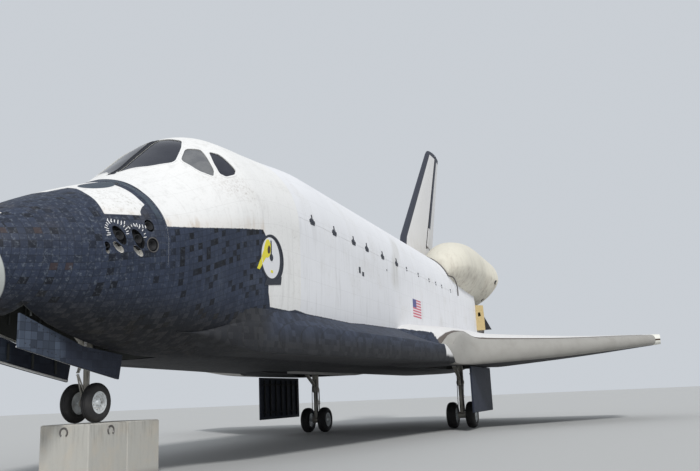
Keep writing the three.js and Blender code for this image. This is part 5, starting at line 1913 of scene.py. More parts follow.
    def cabin_inside(self) -> None:
        """The flight deck's floor, seats' plinth and rear wall, seen through hatch and panes."""
        deck = Draft().block((440, -70, 425), (570, 70, 428), 0.6).block((440, -78, 340), (570, 78, 343), 0.6)
        deck.block((566, -90, 300), (570, 90, 470), 0.6)
        for y in (-24, 24):
            deck.block((462, y - 10, 428), (486, y + 10, 440), 2.0)
            deck.block((482, y - 9, 438), (488, y + 9, 466), 2.0)
        deck.block((430, -48, 428), (442, 48, 452), 3.0)
        decks = carve(deck.build("cabin_decks"), Cut.COMMON, BODY.solid(*self.hollow, self.wall + 0.6, 8, 24))
        fitted(dressed(decks, self.paint.liner), "forward_skin")

    def well_details(self) -> None:
        """Dresses the nose wheel well and ribs its walls."""
        dressed(bpy.data.objects["nose_wheel_well"], self.paint.well)
        x0, _, half, top = self.well
        path = extruded(((-half + 2.4, 292), (-half + 2.4, top - 2.4), (half - 2.4, top - 2.4), (half - 2.4, 292)),
                        0, x0 + 10)
        RIBS.run("nose_well_frames", marked(path, (1, 0, 0), (0, 0, 1), paths=(4,)), self.paint.well,
                 "well_lining", Radius=1.0, Sides=4, Count=9, Step=(16.5, 0.0, 0.0))
        pipes = Draft()
        for y, z in ((-17, 326.5), (-13.5, 327.2), (14, 326.2), (19, 325.0)):
            pipes.pipe(((282, y, z), (320, y, z), (352, y * 1.05, z - 1), (368, y * 1.1, z - 3),
                        (374, y * 1.1, 312)), 0.7)
        finished(pipes, self.paint.bright, "well_lining", name="nose_well_pipes")

    def build(self) -> None:
        """Builds the whole nose."""
        self.shell()
        self.throats()
        self.dashes()
        self.cabin_inside()
        self.well_details()


@dataclass
class Bay:
    """The trough of the middle body, its liner, and the two doors over it."""

    paint: Palette
    span: Numbers = (582.014, 1306.986)
    sill: float = 418.0
    skin: float = 4.0
    door_span: Numbers = (582.25, 1302.0)
    door_wall: float = 3.0
    gap: float = 0.25
    axis_z: float = 400.0
    liner_radius: float = 91.0
    radiator_spans: Rows = ((606.0, 930.0), (946.0, 1284.0))
    radiator_columns: tuple[int, int] = (50, 78)
    large_latches: Numbers = (618.7, 684.4, 750.7, 801.5, 868.3, 935.4)
    small_latches: Numbers = (988.0, 1055.3, 1124.2, 1170.6, 1214.3, 1284.0)
    # x, z, length and height of small openings in the side
    vents: Rows = ((767.5, 386.0, 6.5, 8.0), (779.9, 382.4, 7.0, 5.5), (883.1, 402.4, 2.6, 2.6))

    def trough(self) -> None:
        """The outer skin below the sills."""
        low, high = self.span
        shell = BODY.solid(low, high, 0.0, 8, 40).build("mid_fuselage_visual")
        carve(shell, Cut.AWAY, BODY.solid(low - 1, high + 1, self.skin, 24, 24), half_space(2, self.sill, WIDE))
        finished(shell, (self.paint.side, self.paint.liner), "mid_skin", "mid_fuselage", rule=facing_in)

    def lining(self) -> None:
        """Dresses the liner, and adds frames across it and stringers along it."""
        dressed(bpy.data.objects["payload_bay_liner"], self.paint.liner)
        low, high = self.span
        angles = np.linspace(math.radians(-188), math.radians(8), 41)
        radius = self.liner_radius - 0.3
        arc = np.column_stack((
            np.full(len(angles), low + 22), radius * np.cos(angles), self.axis_z + radius * np.sin(angles)))
        RIBS.run("bay_frames", marked(arc, (1, 0, 0), (0, 1, 0), paths=(len(arc),)), self.paint.bright,
                 "bay_liner", Radius=1.3, Sides=8, Count=13, Step=(57.0, 0.0, 0.0))
        ends = [(x, radius * math.cos(a), self.axis_z + radius * math.sin(a))
                for a in np.radians((-165, -140, -115, -90, -65, -40, -15)) for x in (low + 6, high - 6)]
        RIBS.run("bay_stringers", marked(ends, (0, 0, 1), (1, 0, 0), paths=(2,) * 7), self.paint.white,
                 "bay_liner", Radius=0.8, Sides=6)

    def doors(self) -> None:
        """Both doors with the radiators inside them."""
        low, high = self.door_span
        whole = BODY.solid(low, high, 0.0, 6, 40).build("door_shell")
        carve(whole, Cut.AWAY, BODY.solid(low - 2, high + 4, self.door_wall, 12, 32),
              half_space(2, -WIDE, self.sill + self.gap))
        for side in Side:
            name = f"payload_bay_door_{side.word}"
            keep = sorted((side.value * self.gap / 2, side.value * WIDE))
            door = carve(copied(whole, f"{name}_visual"), Cut.COMMON, half_space(1, *keep))
            finished(door, (self.paint.door, self.paint.liner), "bay_door", name, body=f"bay_door_{side.word}",
                     rule=facing_in)
            self.radiators(side)
        scrapped(whole)

    def radiators(self, side: Side) -> None:
        """Two radiator panels inside a door, with tubes along them."""
        body = f"bay_door_{side.word}"
        first, last = self.radiator_columns
        panels, ends = Draft(), []
        for low, high in self.radiator_spans:
            xs = spread(low, high, 24)
            panels.sheet(*(BODY.rings(xs, inset)[0][:, first:last] for inset in (3.4, 4.3)))
            lines = BODY.rings((low + 4, high - 4), 4.35)[0][:, first + 1:last - 1:3]
            ends.extend(lines.transpose(1, 0, 2).reshape(-1, 3))
        finished(panels.mirrored(side), self.paint.radiator, "bay_door", name=f"radiator_panels_{side.word}", body=body)
        marks = marked(np.array(ends) * (1, side.value, 1), (0, 0, 1), (1, 0, 0), paths=(2,) * (len(ends) // 2))
        RIBS.run(f"radiator_tubes_{side.word}", marks, self.paint.bright, "bay_door", body, Radius=0.35, Sides=6)

    def latches(self) -> None:
        """Dark plates below the sill, thin fins above them, and small openings in the side."""
        below, vents, level, dark = SkinMarks(), SkinMarks(), (1.0, 0.0), self.paint.dark
        inch = {"Length": 1.0, "Width": 1.0, "Height": 1.0}
        for side in Side:
            fins = SkinMarks()
            for x in self.large_latches:
                below.add(x, self.sill - 1.0, side, level, (11.0, 1.8, 0.9))
                fins.add(x, self.sill + 1.9, side, level, (14.0, 3.0, 0.8))
                fins.add(x, self.sill + 4.2, side, level, (8.0, 1.8, 0.8))
                fins.add(x, self.sill + 7.4, side, (0.0, 1.0), (4.8, 0.7, 1.2), 0.5)
            for x in self.small_latches:
                below.add(x, self.sill - 1.4, side, level, (4.0, 1.6, 0.8))
                fins.add(x, self.sill + 2.8, side, level, (5.0, 2.6, 0.8))
            for x, z, long, high in self.vents:
                vents.add(x, z, side, level, (long, high, 0.3), 0.05)
            PLATES.run(f"door_fins_{side.word}", fins.mesh(), dark, "bay_door", f"bay_door_{side.word}", **inch)
        PLATES.run("sill_latches", below.mesh(), dark, "mid_skin", **inch)
        PLATES.run("side_vents", vents.mesh(), dark, "mid_skin", **inch)

    def build(self) -> None:
        """Builds the whole bay."""
        self.trough()
        self.lining()
        self.doors()
        self.latches()


@dataclass
class Stern:
    """The aft body with its base, the three main engines and the flap."""

    paint: Palette
    span: Numbers = (1307.0, 1515.0)
    hollow: Numbers = (1313.0, 1509.0)
    wall: float = 5.0
    # name, x, y, z of the gimbal and upward tilt in degrees
    engines: Sequence[tuple[str, float, float, float, float]] = (
        ("centre", 1445, 0, 443, 16), ("port", 1468, -53, 342.6, 10), ("starboard", 1468, 53, 342.6, 10))
    # distance from the base along the engine's line and radius of the dome round it
    dome: Rows = ((-8, 0), (-8, 42), (5, 41.6), (10, 40.4), (14, 38.4), (16, 36), (16, 0))
    hole: float = 33.0
    # distance from the gimbal and radius outside the bell
    bell: Rows = ((52, 12), (62, 15), (80, 24), (104, 33), (134, 40.8), (168, 45.4))
    hoops: Numbers = (84.0, 96.0, 108.0, 120.0, 132.0, 144.0, 155.0, 166.4)
    head: Rows = (
        (2, 0), (2, 12), (5, 16), (12, 16), (14, 21), (24, 21), (26, 18), (34, 18), (36, 21.6),
        (45, 21.6), (47, 18), (51, 13), (54, 12.4), (54, 0))

    def line(self, tilt: float) -> Array:
        """The direction of an engine's axis."""
        return np.array((math.cos(math.radians(tilt)), 0.0, math.sin(math.radians(tilt))))

    def shell(self) -> None:
        """The skin and the base with a dome and a hole for each engine."""
        low, high = self.span
        shell = BODY.solid(low, high, 0.0, 5, 44).build("aft_fuselage_visual")
        holes = []
        for _, x, y, z, tilt in self.engines:
            line = self.line(tilt)
            base = np.array((x, y, z), float) + line * (high - x) / line[0]
            dome = carve(Draft().turned(self.dome, base, line, 72).build("dome"), Cut.COMMON,
                         half_space(0, high - 3, WIDE))
            carve(shell, Cut.TOGETHER, dome)
            scrapped(dome)
            holes.append(Draft().rod(base - line * 20, base + line * 40, self.hole, segments=72, edge=0))
        carve(shell, Cut.AWAY, BODY.solid(*self.hollow, self.wall, 16, 24), *holes)

        def rule(places: Array, normals: Array) -> Array:
            """Base and domes are tiled, the inside is lined."""
            return np.where(places[:, 0] > high - 0.2, 1, np.where(facing_in(places, normals), 2, 0))

        finished(shell, (self.paint.stern, self.paint.dome, self.paint.soot), "aft_skin", "aft_bulkhead",
                 "aft_fuselage", "base_section", rule=rule)

    def engine(self, name: str, gimbal: Array, tilt: float) -> None:
        """One engine: head, bell and hoops.

        Args:
            name: its place.
            gimbal: the middle of its gimbal.
            tilt: upward tilt in degrees.
        """
        line = self.line(tilt)
        alongs = spread(self.bell[0][0], self.bell[-1][0], 3.5)
        outside = list(zip(alongs, smooth_read(self.bell, alongs)[:, 0]))
        inside = [(a, r - 1.6) for a, r in reversed(outside)]
        finished(Draft().turned((outside[0], *outside, *inside, (56, 0)), gimbal, line, 96), self.paint.bell,
                 "engine_metal", f"main_engine_{name}")
        head = Draft().turned(self.head, gimbal, line, 64)
        first, second = frame_of(line)
        for number in range(6):
            angle = number * math.pi / 3 + 0.3
            out, aside = (math.cos(a) * first + math.sin(a) * second for a in (angle, angle + 0.5))
            head.pipe([gimbal + line * along + way * reach for along, way, reach in (
                (8, out, 15.5), (12, out, 20.6), (30, aside, 20.6), (40, aside, 20.4), (50, aside, 13))], 1.3, 10)
        finished(head, self.paint.bright, "engine_metal", name=f"engine_head_{name}")
        ups = circle(first, second, 72)
        radii = smooth_read(self.bell, self.hoops)[:, 0] + 0.25
        points = np.concatenate([gimbal + line * along + ups * radius for along, radius in zip(self.hoops, radii)])
        marks = marked(points, np.tile(ups, (len(radii), 1)), line, paths=(len(ups),) * len(radii))
        RIBS.run(f"bell_hoops_{name}", marks, self.paint.burnt, "engine_metal", Radius=0.7, Sides=8)

    def trim(self) -> None:
        """Dresses the flap, and adds the base's corner plates and the fasteners round its edge."""
        dressed(bpy.data.objects["body_flap"], self.paint.tile)
        for side in Side:
            for name, material, thick, outline in (
                    ("base_corner", self.paint.ochre, 1.4, ((102, 414), (122, 412), (124, 358), (102, 358))),
                    ("base_corner_mark", self.paint.brown, 2.0, ((110, 397), (115, 397), (116, 389), (110, 388))),
                    ("base_corner_fin", self.paint.soot, 1.4, ((123.5, 386), (137, 358), (123.5, 358)))):
                plate = extruded(outline, 0, 1513.6) * (1, side.value, 1)
                finished(Draft().prism(plate, (thick, 0, 0)), material, "aft_skin", name=f"{name}_{side.word}")
        ring = BODY.rings((self.span[1],), 3.0, 40)[0][0]
        marks = marked(ring + (0.1, 0, 0), (1, 0, 0), (0, 0, 1), paths=(len(ring),))
        STUDS.run("base_edge_fasteners", marks, self.paint.burnt, "aft_skin",
                  Spacing=9.0, Radius=0.8, Height=0.5, Sides=8)

    def build(self) -> None:
        """Builds the whole stern."""
        self.shell()
        for name, *gimbal, tilt in self.engines:
            self.engine(name, np.array(gimbal, float), tilt)
        self.trim()


@dataclass
class Pod:
    """One manoeuvring pod with its nozzle, drawn to starboard."""

    paint: Palette
    side: Side
    # x, y and z of the widest line, half width inboard and outboard, half height
    stations: Rows = (
        (1300, 82, 466, 6, 6, 6), (1312, 82, 470, 24, 26, 24), (1335, 80, 474, 38, 42, 38),
        (1370, 77, 479, 46, 53, 50), (1420, 73, 481.6, 49, 58, 60), (1480, 71, 483.6, 49, 63, 66),
        (1515, 71, 483.6, 49, 63, 67), (1545, 73, 479.3, 50, 68, 64), (1572, 77, 473, 52, 74, 59.6))
    power: Numbers = (2.15, 1.5)
    throat: Numbers = (1552.0, 94.0, 500.0)
    tilt: float = 15.0
    outward: float = 10.0
    well: Rows = ((-10, 17), (40, 30))
    nozzle: Rows = (
        (-8, 0), (-8, 6), (0, 6), (3, 7.6), (6, 10), (11, 13), (18, 16), (25, 18.5), (32, 20.5), (39, 22),
        (46, 23), (46, 22), (39, 20.9), (32, 19.4), (25, 17.4), (18, 14.8), (11, 11.4), (6, 8), (4, 0))
    # length and both radii of the room round the centre engine, its gimbal and its tilt
    passage: Numbers = (150.0, 44.0, 52.0)
    gimbal: Numbers = (1445.0, 0.0, 443.0)
    gimbal_tilt: float = 16.0
    points: int = 88

    def ring(self, row: Array, x: float) -> Array:
        """One section of the pod at a station, from the table's values there."""
        y_mid, z_mid, inner, outer, height = row
        angle = np.linspace(0, 2 * math.pi, self.points + 1)
        c, s = np.cos(angle), np.sin(angle)
        power = np.where(s >= 0, 2 / self.power[0], 2 / self.power[1])
        y = y_mid + np.where(c >= 0, outer, inner) * np.sign(c) * np.abs(c) ** power
        z = z_mid + height * np.sign(s) * np.abs(s) ** power
        ring = np.column_stack((np.full(len(angle), x), y, z))
        ring[-1] = ring[0]
        return ring

    def line(self) -> Array:
        """The nozzle's direction."""
        tilt, outward = math.radians(self.tilt), math.radians(self.outward)
        return unit((math.cos(tilt) * math.cos(outward), math.sin(outward), math.sin(tilt)))

    def hull(self) -> None:
        """The pod's skin, cut by the body, the nozzle's well and the centre engine's room."""
        xs = np.concatenate((spread(1300, 1340, 3), spread(1345, 1572, 7)))
        rings = np.array([self.ring(row, x) for row, x in zip(smooth_read(self.stations, xs), xs)])
        hull = Draft().loft(rings).mirrored(self.side).build(f"manoeuvring_pod_{self.side.word}_visual")
        line, throat = self.line(), np.asarray(self.throat)
        (near, small), (far, large) = self.well
        well = Draft().rod(throat + line * near, throat + line * far, small, large, 64, 0)
        length, narrow, wide = self.passage
        gimbal, tilt = np.asarray(self.gimbal), math.radians(self.gimbal_tilt)
        way = np.array((math.cos(tilt), 0.0, math.sin(tilt)))
        room = Draft().rod(gimbal, gimbal + way * length, narrow, wide, 72, 0)
        carve(hull, Cut.AWAY, BODY.solid(1250, *BODY.END, 5, 44), well.mirrored(self.side), room,
              half_space(0, -WIDE, 1307.0))

        def rule(places: Array, normals: Array) -> Array:
            """The rear face and the nozzle's well are dark tiles."""
            return (normals[:, 0] > 0.9) | (places[:, 0] > 1570)

        finished(hull, (self.paint.pod, self.paint.dome), "pod_blanket", f"manoeuvring_pod_{self.side.word}", rule=rule)

    def ports(self) -> None:
        """Two small thruster mouths low on the pod's side, and the seal along its front."""
        cups = Draft()
        for place, out in (((1564.6, 145.4, 467.3), (0, 0.92, -0.39)), ((1566.3, 112.2, 430.4), (0, 0.57, -0.82))):
            cups.turned(((-1.2, 0), (-1.2, 4.6), (1.6, 4.6), (1.6, 3.8), (-0.6, 3.0), (-0.6, 0)), place, out, 28)
        front = [BODY.skin(1305.4, z, Side.STARBOARD, 0.8) for z in np.linspace(500, 452, 13)]
        seam = Draft().pipe((*front, (1316, 104.4, 450), (1328, 105.0, 446.5), (1338, 105.4, 440),
                             (1343.4, 105.8, 431), (1344.7, 105.8, 416)), 1.2, 10)
        for name, draft, material in (("pod_ports", cups, self.paint.soot), ("pod_seam", seam, self.paint.burnt)):
            finished(draft.mirrored(self.side), material, "pod_blanket", name=f"{name}_{self.side.word}")

    def build(self) -> None:
        """Builds the pod, its nozzle and its small parts."""
        self.hull()
        finished(Draft().turned(self.nozzle, self.throat, self.line(), 72).mirrored(self.side), self.paint.burnt,
                 "engine_metal", f"manoeuvring_nozzle_{self.side.word}")
        self.ports()


@dataclass
class Wing:
    """One wing with its carbon edge, drawn to starboard."""

    paint: Palette
    side: Side
    half_span: float = 468.34
    tip_x: float = 1304.34
    trailing_x: float = 1442.2
    sweep: float = 0.17735
    dihedral: float = math.radians(3.5)
    # x and z of the elevons' hinge line at the middle
    hinge: Numbers = (1387.0, 279.8)
    # x and y where the strake starts, and how its edge runs out
    strake: Numbers = (500.0, 104.5, 0.1592)
    # x less y along the straight edge, and how softly the strake runs into it
    edge_foot: float = 836.0
    edge_soft: float = 49.0
    # z of the flat underside, y from which it rises, and how fast
    belly: Numbers = (267.4, 190.0, 0.07)
    trailing_thick: float = 1.6
    # y, z of the leading edge, strake thickness, greatest thickness
    stations: Rows = (
        (98, 285, 32, 56), (150, 283, 28, 52), (200, 281, 20, 45), (300, 289, 15, 34),
        (400, 298, 11, 23), (468.34, 303, 8, 15))
    elevons: Rows = ((115.0, 281.0), (283.0, 464.0))
    well: Rows = ((1038.0, 108.5, 0.0), (1197.0, 180.5, 303.0))
    # stations along the carbon edge, and how far back it reaches at its inner and outer end
    carbon: Numbers = (928.0, 950.0, 970.0, 990.0, 1010.0, 1030.0, 1050.0, 1080.0, 1120.0, 1180.0, 1296.0)
    carbon_depth: Numbers = (13.0, 11.0)
    # x and z of the slanted cut at the carbon edge's inner end
    carbon_end: Rows = ((928.0, 300.0), (976.0, 260.0))
    # x and z of the fairing's upper edge
    fillet: Rows = ((515, 313.9), (640, 314.7), (730, 314.8), (774, 317), (924, 321.2), (966, 314))
    count: int = 34

    def edge_y(self, x: Array) -> Array:
        """Distance of the leading edge from the middle at a station."""
        x0, y0, slope = self.strake
        strake, main = y0 + (x - x0) * slope, x - self.edge_foot
        half = (strake - main) / 2
        return (strake + main) / 2 + np.sqrt(half * half + self.edge_soft)

    def trailing(self, y: float) -> float:
        """Station of the trailing edge at a distance from the middle."""
        return self.trailing_x + (self.half_span - y) * self.sweep

    def heights(self, x: Array, y: float, nose: float) -> tuple[Array, Array]:
        """Heights of the upper and lower surface.

        Args:
            x: stations.
            y: the rib's distance from the middle.
            nose: station of its leading edge.

        Returns:
            Upper and lower heights.
        """
        table = np.asarray(self.stations, float)
        edge_z, plate, greatest = (np.interp(y, table[:, 0], table[:, i]) for i in (1, 2, 3))
        trailing = self.trailing(y)
        bulge = max(nose, self.edge_foot + y - 50)
        s = np.clip((x - bulge) / (trailing - bulge), 0, 1)
        near = np.clip((x - nose) / (plate * 0.9), 0, 1)
        share = np.clip((x - nose) / (trailing - nose), 0, 1)
        section = 10 * (0.2969 * np.sqrt(s) - 0.126 * s - 0.3516 * s**2 + 0.2843 * s**3 - 0.1036 * s**4)
        full = plate * (1 - s) * np.sqrt(1 - (1 - near) ** 2) + (greatest - plate * 0.4) * section
        thickness = full + (self.trailing_thick - full) * share**8
        hinge_x, hinge_z = self.hinge
        hinge_z += y * math.tan(self.dihedral)
        middle = edge_z + (hinge_z - edge_z) * np.clip((x - nose) / (hinge_x - nose), 0, 1)
        flat_z, flat_y, rise = self.belly
        room = middle - flat_z - max(0.0, y - flat_y) * rise
        half = thickness / 2
        below = half * room / (half**8 + room**8) ** 0.125
        return middle + thickness - below, middle - below

    def rib(self, nose: float, y: float) -> Array:
        """One closed ring of the wing at a distance from the middle."""
        trailing = self.trailing(y)
        x = nose + (trailing - nose) * (1 - np.cos(np.linspace(0, math.pi / 2, self.count + 1)))
        x[-1] = trailing
        top, bottom = self.heights(x, y, nose)
        around = np.concatenate((np.arange(self.count + 1), np.arange(self.count, 0, -1), [0]))
        z = np.where(np.arange(len(around)) <= self.count, top[around], bottom[around])
        z[-1] = z[0]
        return np.column_stack((x[around], np.full(len(around), y), z))

    def whole(self) -> Piece:
        """The wing before its carbon edge, elevons and well are cut from it."""
        xs = np.concatenate((spread(500, 890, 26), spread(900, 1290, 10)))
        rings = [self.rib(500, 96), *(self.rib(x, float(self.edge_y(x))) for x in xs),
                 self.rib(self.tip_x + 2, self.half_span)]
        wing = Draft().loft(np.array(rings)).mirrored(self.side).build(f"wing_{self.side.word}_visual")
        return carve(wing, Cut.AWAY, BODY.solid(400, *BODY.END, 8, 40))

    def carbon_region(self, grow: float) -> Piece:
        """Where the carbon edge is: a band in plan, cut off on a slant at its inner end.

        Args:
            grow: how far it is moved out.

        Returns:
            A solid, mirrored to the wing's side.
        """
        table = np.asarray(self.carbon)
        xs = np.unique(np.concatenate((spread(table[0], table[-1], 12), table)))
        shares = np.interp(xs, table, np.linspace(0, 1, len(table)))
        depth = self.carbon_depth[0] + (self.carbon_depth[1] - self.carbon_depth[0]) * shares + grow
        y = self.edge_y(xs)
        slope = self.edge_y(xs + 1) - y
        length = np.hypot(1, slope)
        front = np.column_stack((xs - 12, y + 12))
        back = np.column_stack((xs + depth * slope / length, y - depth / length))
        for line in (front, back):
            line[0, 0] -= grow
            line[-1, 1] += grow
        band = Draft().prism(extruded(np.vstack((front, back[::-1])), 2, 0.0), (0, 0, 600))
        (x0, z0), (x1, z1) = self.carbon_end
        outline = ((x0 - grow, 900), (x0 - grow, z0), (x1 - grow, z1), (1700, z1), (1700, 900))
        return carve(band.mirrored(self.side).build("carbon_region"), Cut.COMMON,
                     Draft().prism(extruded(outline, 1, -WIDE), (0, 2 * WIDE, 0)))

    def cove(self, inner: float, outer: float) -> tuple[Draft, Draft]:
        """What an elevon takes out of the wing.

        Args:
            inner: inner end along the hinge line.
            outer: outer end along it.

        Returns:
            The block behind the hinge line and the round hollow along it.
        """
        c, s = math.cos(self.dihedral), math.sin(self.dihedral)
        point, along, up = (np.array(v) for v in ((self.hinge[0], 0.0, self.hinge[1]), (0.0, c, s), (0.0, -s, c)))
        corners = [point + along * a + up * h for a, h in ((inner, -60), (outer, -60), (outer, 60), (inner, 60))]
        block = Draft().prism(np.array(corners) - (0.2, 0, 0), (200, 0, 0))
        places = [row[0] / c for row in self.stations]
        profile = [(0, 0)]
        for place in (inner, *(p for p in places if inner + 1 < p < outer - 1), outer):
            y = place * c
            x0, y0, slope = self.strake
            nose = x0 + (y - y0) / slope if y < self.belly[1] else self.edge_foot + y
            top, bottom = self.heights(np.array([self.hinge[0]]), y, nose)
            profile.append((place - inner, float(top[0] - bottom[0]) / 2 * 1.1 + 0.4))
        return block, Draft().turned([*profile, (outer - inner, 0)], point + along * inner, along, 64)

    def fairing(self) -> None:
        """A tiled fillet between the body's side and the strake's rounded edge."""
        turns = np.radians(np.linspace(66, -62, 12))
        table, upper = np.asarray(self.stations, float), np.asarray(self.fillet, float)
        foot = BODY.side(500, 285)
        rings = []
        for share in np.linspace(0, 1, 71):
            x, rear = 400 + 538 * share, 400 + 566 * share
            grown = min(1.0, (x - 400) / 100)
            grown = max(grown * grown * (3 - 2 * grown), 0.03)
            edge = float(self.edge_y(max(x, 500.0)))
            edge = edge if x > 500 else BODY.side(x, 285) + (edge - foot) * grown
            middle, thick = (np.interp(edge, table[:, 0], table[:, i]) for i in (1, 2))
            top = np.interp(rear, upper[:, 0], upper[:, 1])
            start = (rear, BODY.side(rear, top) - 0.8, top)
            arc = [(x, edge - 4.9 + 5.2 * math.cos(t), middle + (thick / 2 + 0.35) * grown * math.sin(t))
                   for t in turns]
            rings.append([start, *arc, (x, BODY.side(x, 269.4) - 2, 269.2), (x, BODY.side(x, 292) - 12, 292), start])
        finished(Draft().loft(np.array(rings)).mirrored(self.side), self.paint.wing, "wing_blanket",
                 name=f"strake_fairing_{self.side.word}")

    def build(self) -> None:
        """Builds the wing, its edge and its fairing, and dresses its elevons."""
        self.fairing()
        word, wing = self.side.word, self.whole()
        region, grown = self.carbon_region(0.0), self.carbon_region(0.45)
        edge = carve(copied(wing, f"wing_leading_edge_{word}_visual"), Cut.COMMON, region)
        finished(edge, self.paint.edge, "edge_carbon", f"wing_leading_edge_{word}")
        carve(wing, Cut.AWAY, grown)
        scrapped(region, grown)
        for inner, outer in self.elevons:
            carve(wing, Cut.AWAY, *(tool.mirrored(self.side) for tool in self.cove(inner - 0.4, outer + 0.4)))
        low, high = self.well
        carve(wing, Cut.AWAY, Draft().block(low, high).mirrored(self.side))

        def rule(places: Array, normals: Array) -> Array:
            """The wheel well is lined, and the joint behind the carbon edge is brown."""
            x, y, z = places[:, 0], np.abs(places[:, 1]), places[:, 2]
            inside = (x > low[0] - 0.5) & (x < high[0] + 0.5) & (y > low[1] - 0.5) & (y < high[1] + 0.5)
            inside &= (z < high[2] + 0.5) & (normals[:, 2] < 0.5) & (z > 268.5)
            joint = (np.abs(normals[:, 2]) < 0.2) & (x > 925) & (y < self.half_span - 4) & (normals[:, 0] < -0.2)
            return np.where(inside, 1, np.where(joint, 2, 0))

        finished(wing, (self.paint.wing, self.paint.well, self.paint.brown), "wing_blanket", f"wing_{word}", rule=rule)
        for place in ("inboard", "outboard"):
            dressed(bpy.data.objects[f"elevon_{place}_{word}"], self.paint.elevon)


@dataclass
class Tail:
    """The fin, and the dressing of its rudder."""

    paint: Palette
    # z, and x of the leading and trailing edge, at root and tip
    root: Numbers = (500.0, 1277.0, 1545.6)
    tip: Numbers = (815.7, 1592.7, 1701.0)
    hinge_share: Numbers = (0.67, 0.6)
    hinge_half: float = 0.05
    # share of the way to the hinge line, half thickness as a share of the chord
    front: Rows = ((0, 0.004), (0.033, 0.014), (0.167, 0.028), (0.5, 0.043), (1, 0.05))
    # x and z of the fin's heel, and how it leans back
    heel: Numbers = (1307.25, 503.0, 0.4)
    # z, and how far the leading edge is moved back there
    corner: Rows = (
        (494, 0), (549, 0), (797.7, 0), (803.5, 1.6), (808.7, 4), (812.0, 7.4), (813.7, 11), (815.0, 15.4), (815.7, 20))
    foot_z: float = 553.0
    foot_gap: float = 3.2
    cove_share: float = 1.25
    cup: float = 8.0

    def at(self, z: float) -> tuple[float, float, float]:
        """Leading, hinge and trailing x at a height."""
        share = (z - self.root[0]) / (self.tip[0] - self.root[0])
        lead, trail = (self.root[i] + (self.tip[i] - self.root[i]) * share for i in (1, 2))
        ends = [p[1] + (p[2] - p[1]) * h for p, h in zip((self.root, self.tip), self.hinge_share)]
        return lead, ends[0] + (ends[1] - ends[0]) * share, trail

    def ring(self, z: float, back: float) -> Array:
        """The fin's section at a height, its front edge moved back."""
        lead, hinge, trail = self.at(z)
        x0, z0, slope = self.heel
        start = max(lead, x0 + max(0.0, z - z0) * slope) + back
        shares = np.linspace(0, 1, 22) ** 2
        half = smooth_read(self.front, shares)[:, 0]
        x = np.concatenate((start + (hinge - start) * shares, [trail]))
        y = np.concatenate((half, [0.006])) * (trail - lead)
        ring = np.vstack((np.column_stack((x, y)), np.column_stack((x, -y))[::-1]))
        return extruded(np.vstack((ring, ring[:1])), 2, z)

    def build(self) -> None:
        """Builds the fin and dresses the rudder."""
        levels = np.array(self.corner)
        zs = np.unique(np.concatenate((spread(549, 797.7, 12), spread(494, 549, 11), levels[:, 0])))
        rings = np.array([self.ring(z, float(np.interp(z, levels[:, 0], levels[:, 1]))) for z in zs])
        fin = Draft().loft(rings).build("vertical_tail_visual")
        foot, over_tip = self.foot_z - self.foot_gap, self.tip[0] + 20
        ends = (self.foot_z - 40, over_tip)
        low, high = (np.array((self.at(z)[1], 0.0, z)) for z in ends)
        radii = [(self.at(z)[2] - self.at(z)[0]) * self.hinge_half * self.cove_share for z in ends]
        cove = Draft().rod(low, high, *radii, 48, 0).build("cove")
        carve(cove, Cut.COMMON, half_space(2, self.foot_z - self.cup, WIDE))
        behind = ((self.at(foot)[1], foot), (WIDE, foot), (WIDE, over_tip), (self.at(over_tip)[1], over_tip))
        over = ((1512, 480), (1512, 514), (1565, 530), (1565, 480))
        carve(fin, Cut.AWAY, BODY.solid(1200, *BODY.END, 5, 44),
              Draft().prism(extruded(over, 1, -50), (0, 100, 0)),
              Draft().prism(extruded(behind, 1, -300), (0, 600, 0)), cove)
        scrapped(cove)
        finished(fin, self.paint.tail, "tail_blanket", "vertical_tail")
        for side in Side:
            dressed(bpy.data.objects[f"rudder_panel_{side.word}"], self.paint.tail)
        dressed(bpy.data.objects["rudder_post"], self.paint.rudder_post)


@dataclass
class Tyre:
    """One tyre, turned about its axle."""

    middle: Array
    radius: float
    width: float
    # distance along the axle as a share of the width, radius as a share of the tyre's
    section: Rows = (
        (-0.36, 0.5), (-0.43, 0.56), (-0.49, 0.63), (-0.505, 0.71), (-0.5, 0.79), (-0.455, 0.87),
        (-0.38, 0.93), (-0.27, 0.972), (-0.225, 0.985), (-0.22, 0.972), (-0.185, 0.972), (-0.18, 0.992),
        (-0.06, 0.999), (-0.055, 0.982), (-0.02, 0.982), (-0.015, 1.0))
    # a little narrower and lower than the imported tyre
    shrink: Numbers = (0.985, 0.998)
    segments: int = 96

    def draft(self) -> Draft:
        """The tyre as a draft: its whole section, closed on itself and turned."""
        full = [*self.section, *((-a, r) for a, r in reversed(self.section)), self.section[0]]
        narrow, low = self.shrink
        table = np.array([(a * self.width * narrow, r * self.radius * low) for a, r in full])
        angle = np.linspace(0, 2 * math.pi, self.segments + 1)
        rings = np.stack([
            self.middle + np.column_stack((r * np.cos(angle), np.full(len(angle), a), r * np.sin(angle)))
            for a, r in table])
        around = angle[None] * self.radius
        return Draft().grid(rings, np.stack(np.broadcast_arrays(around, lengths_along(table)[:, None]), -1) * INCH)


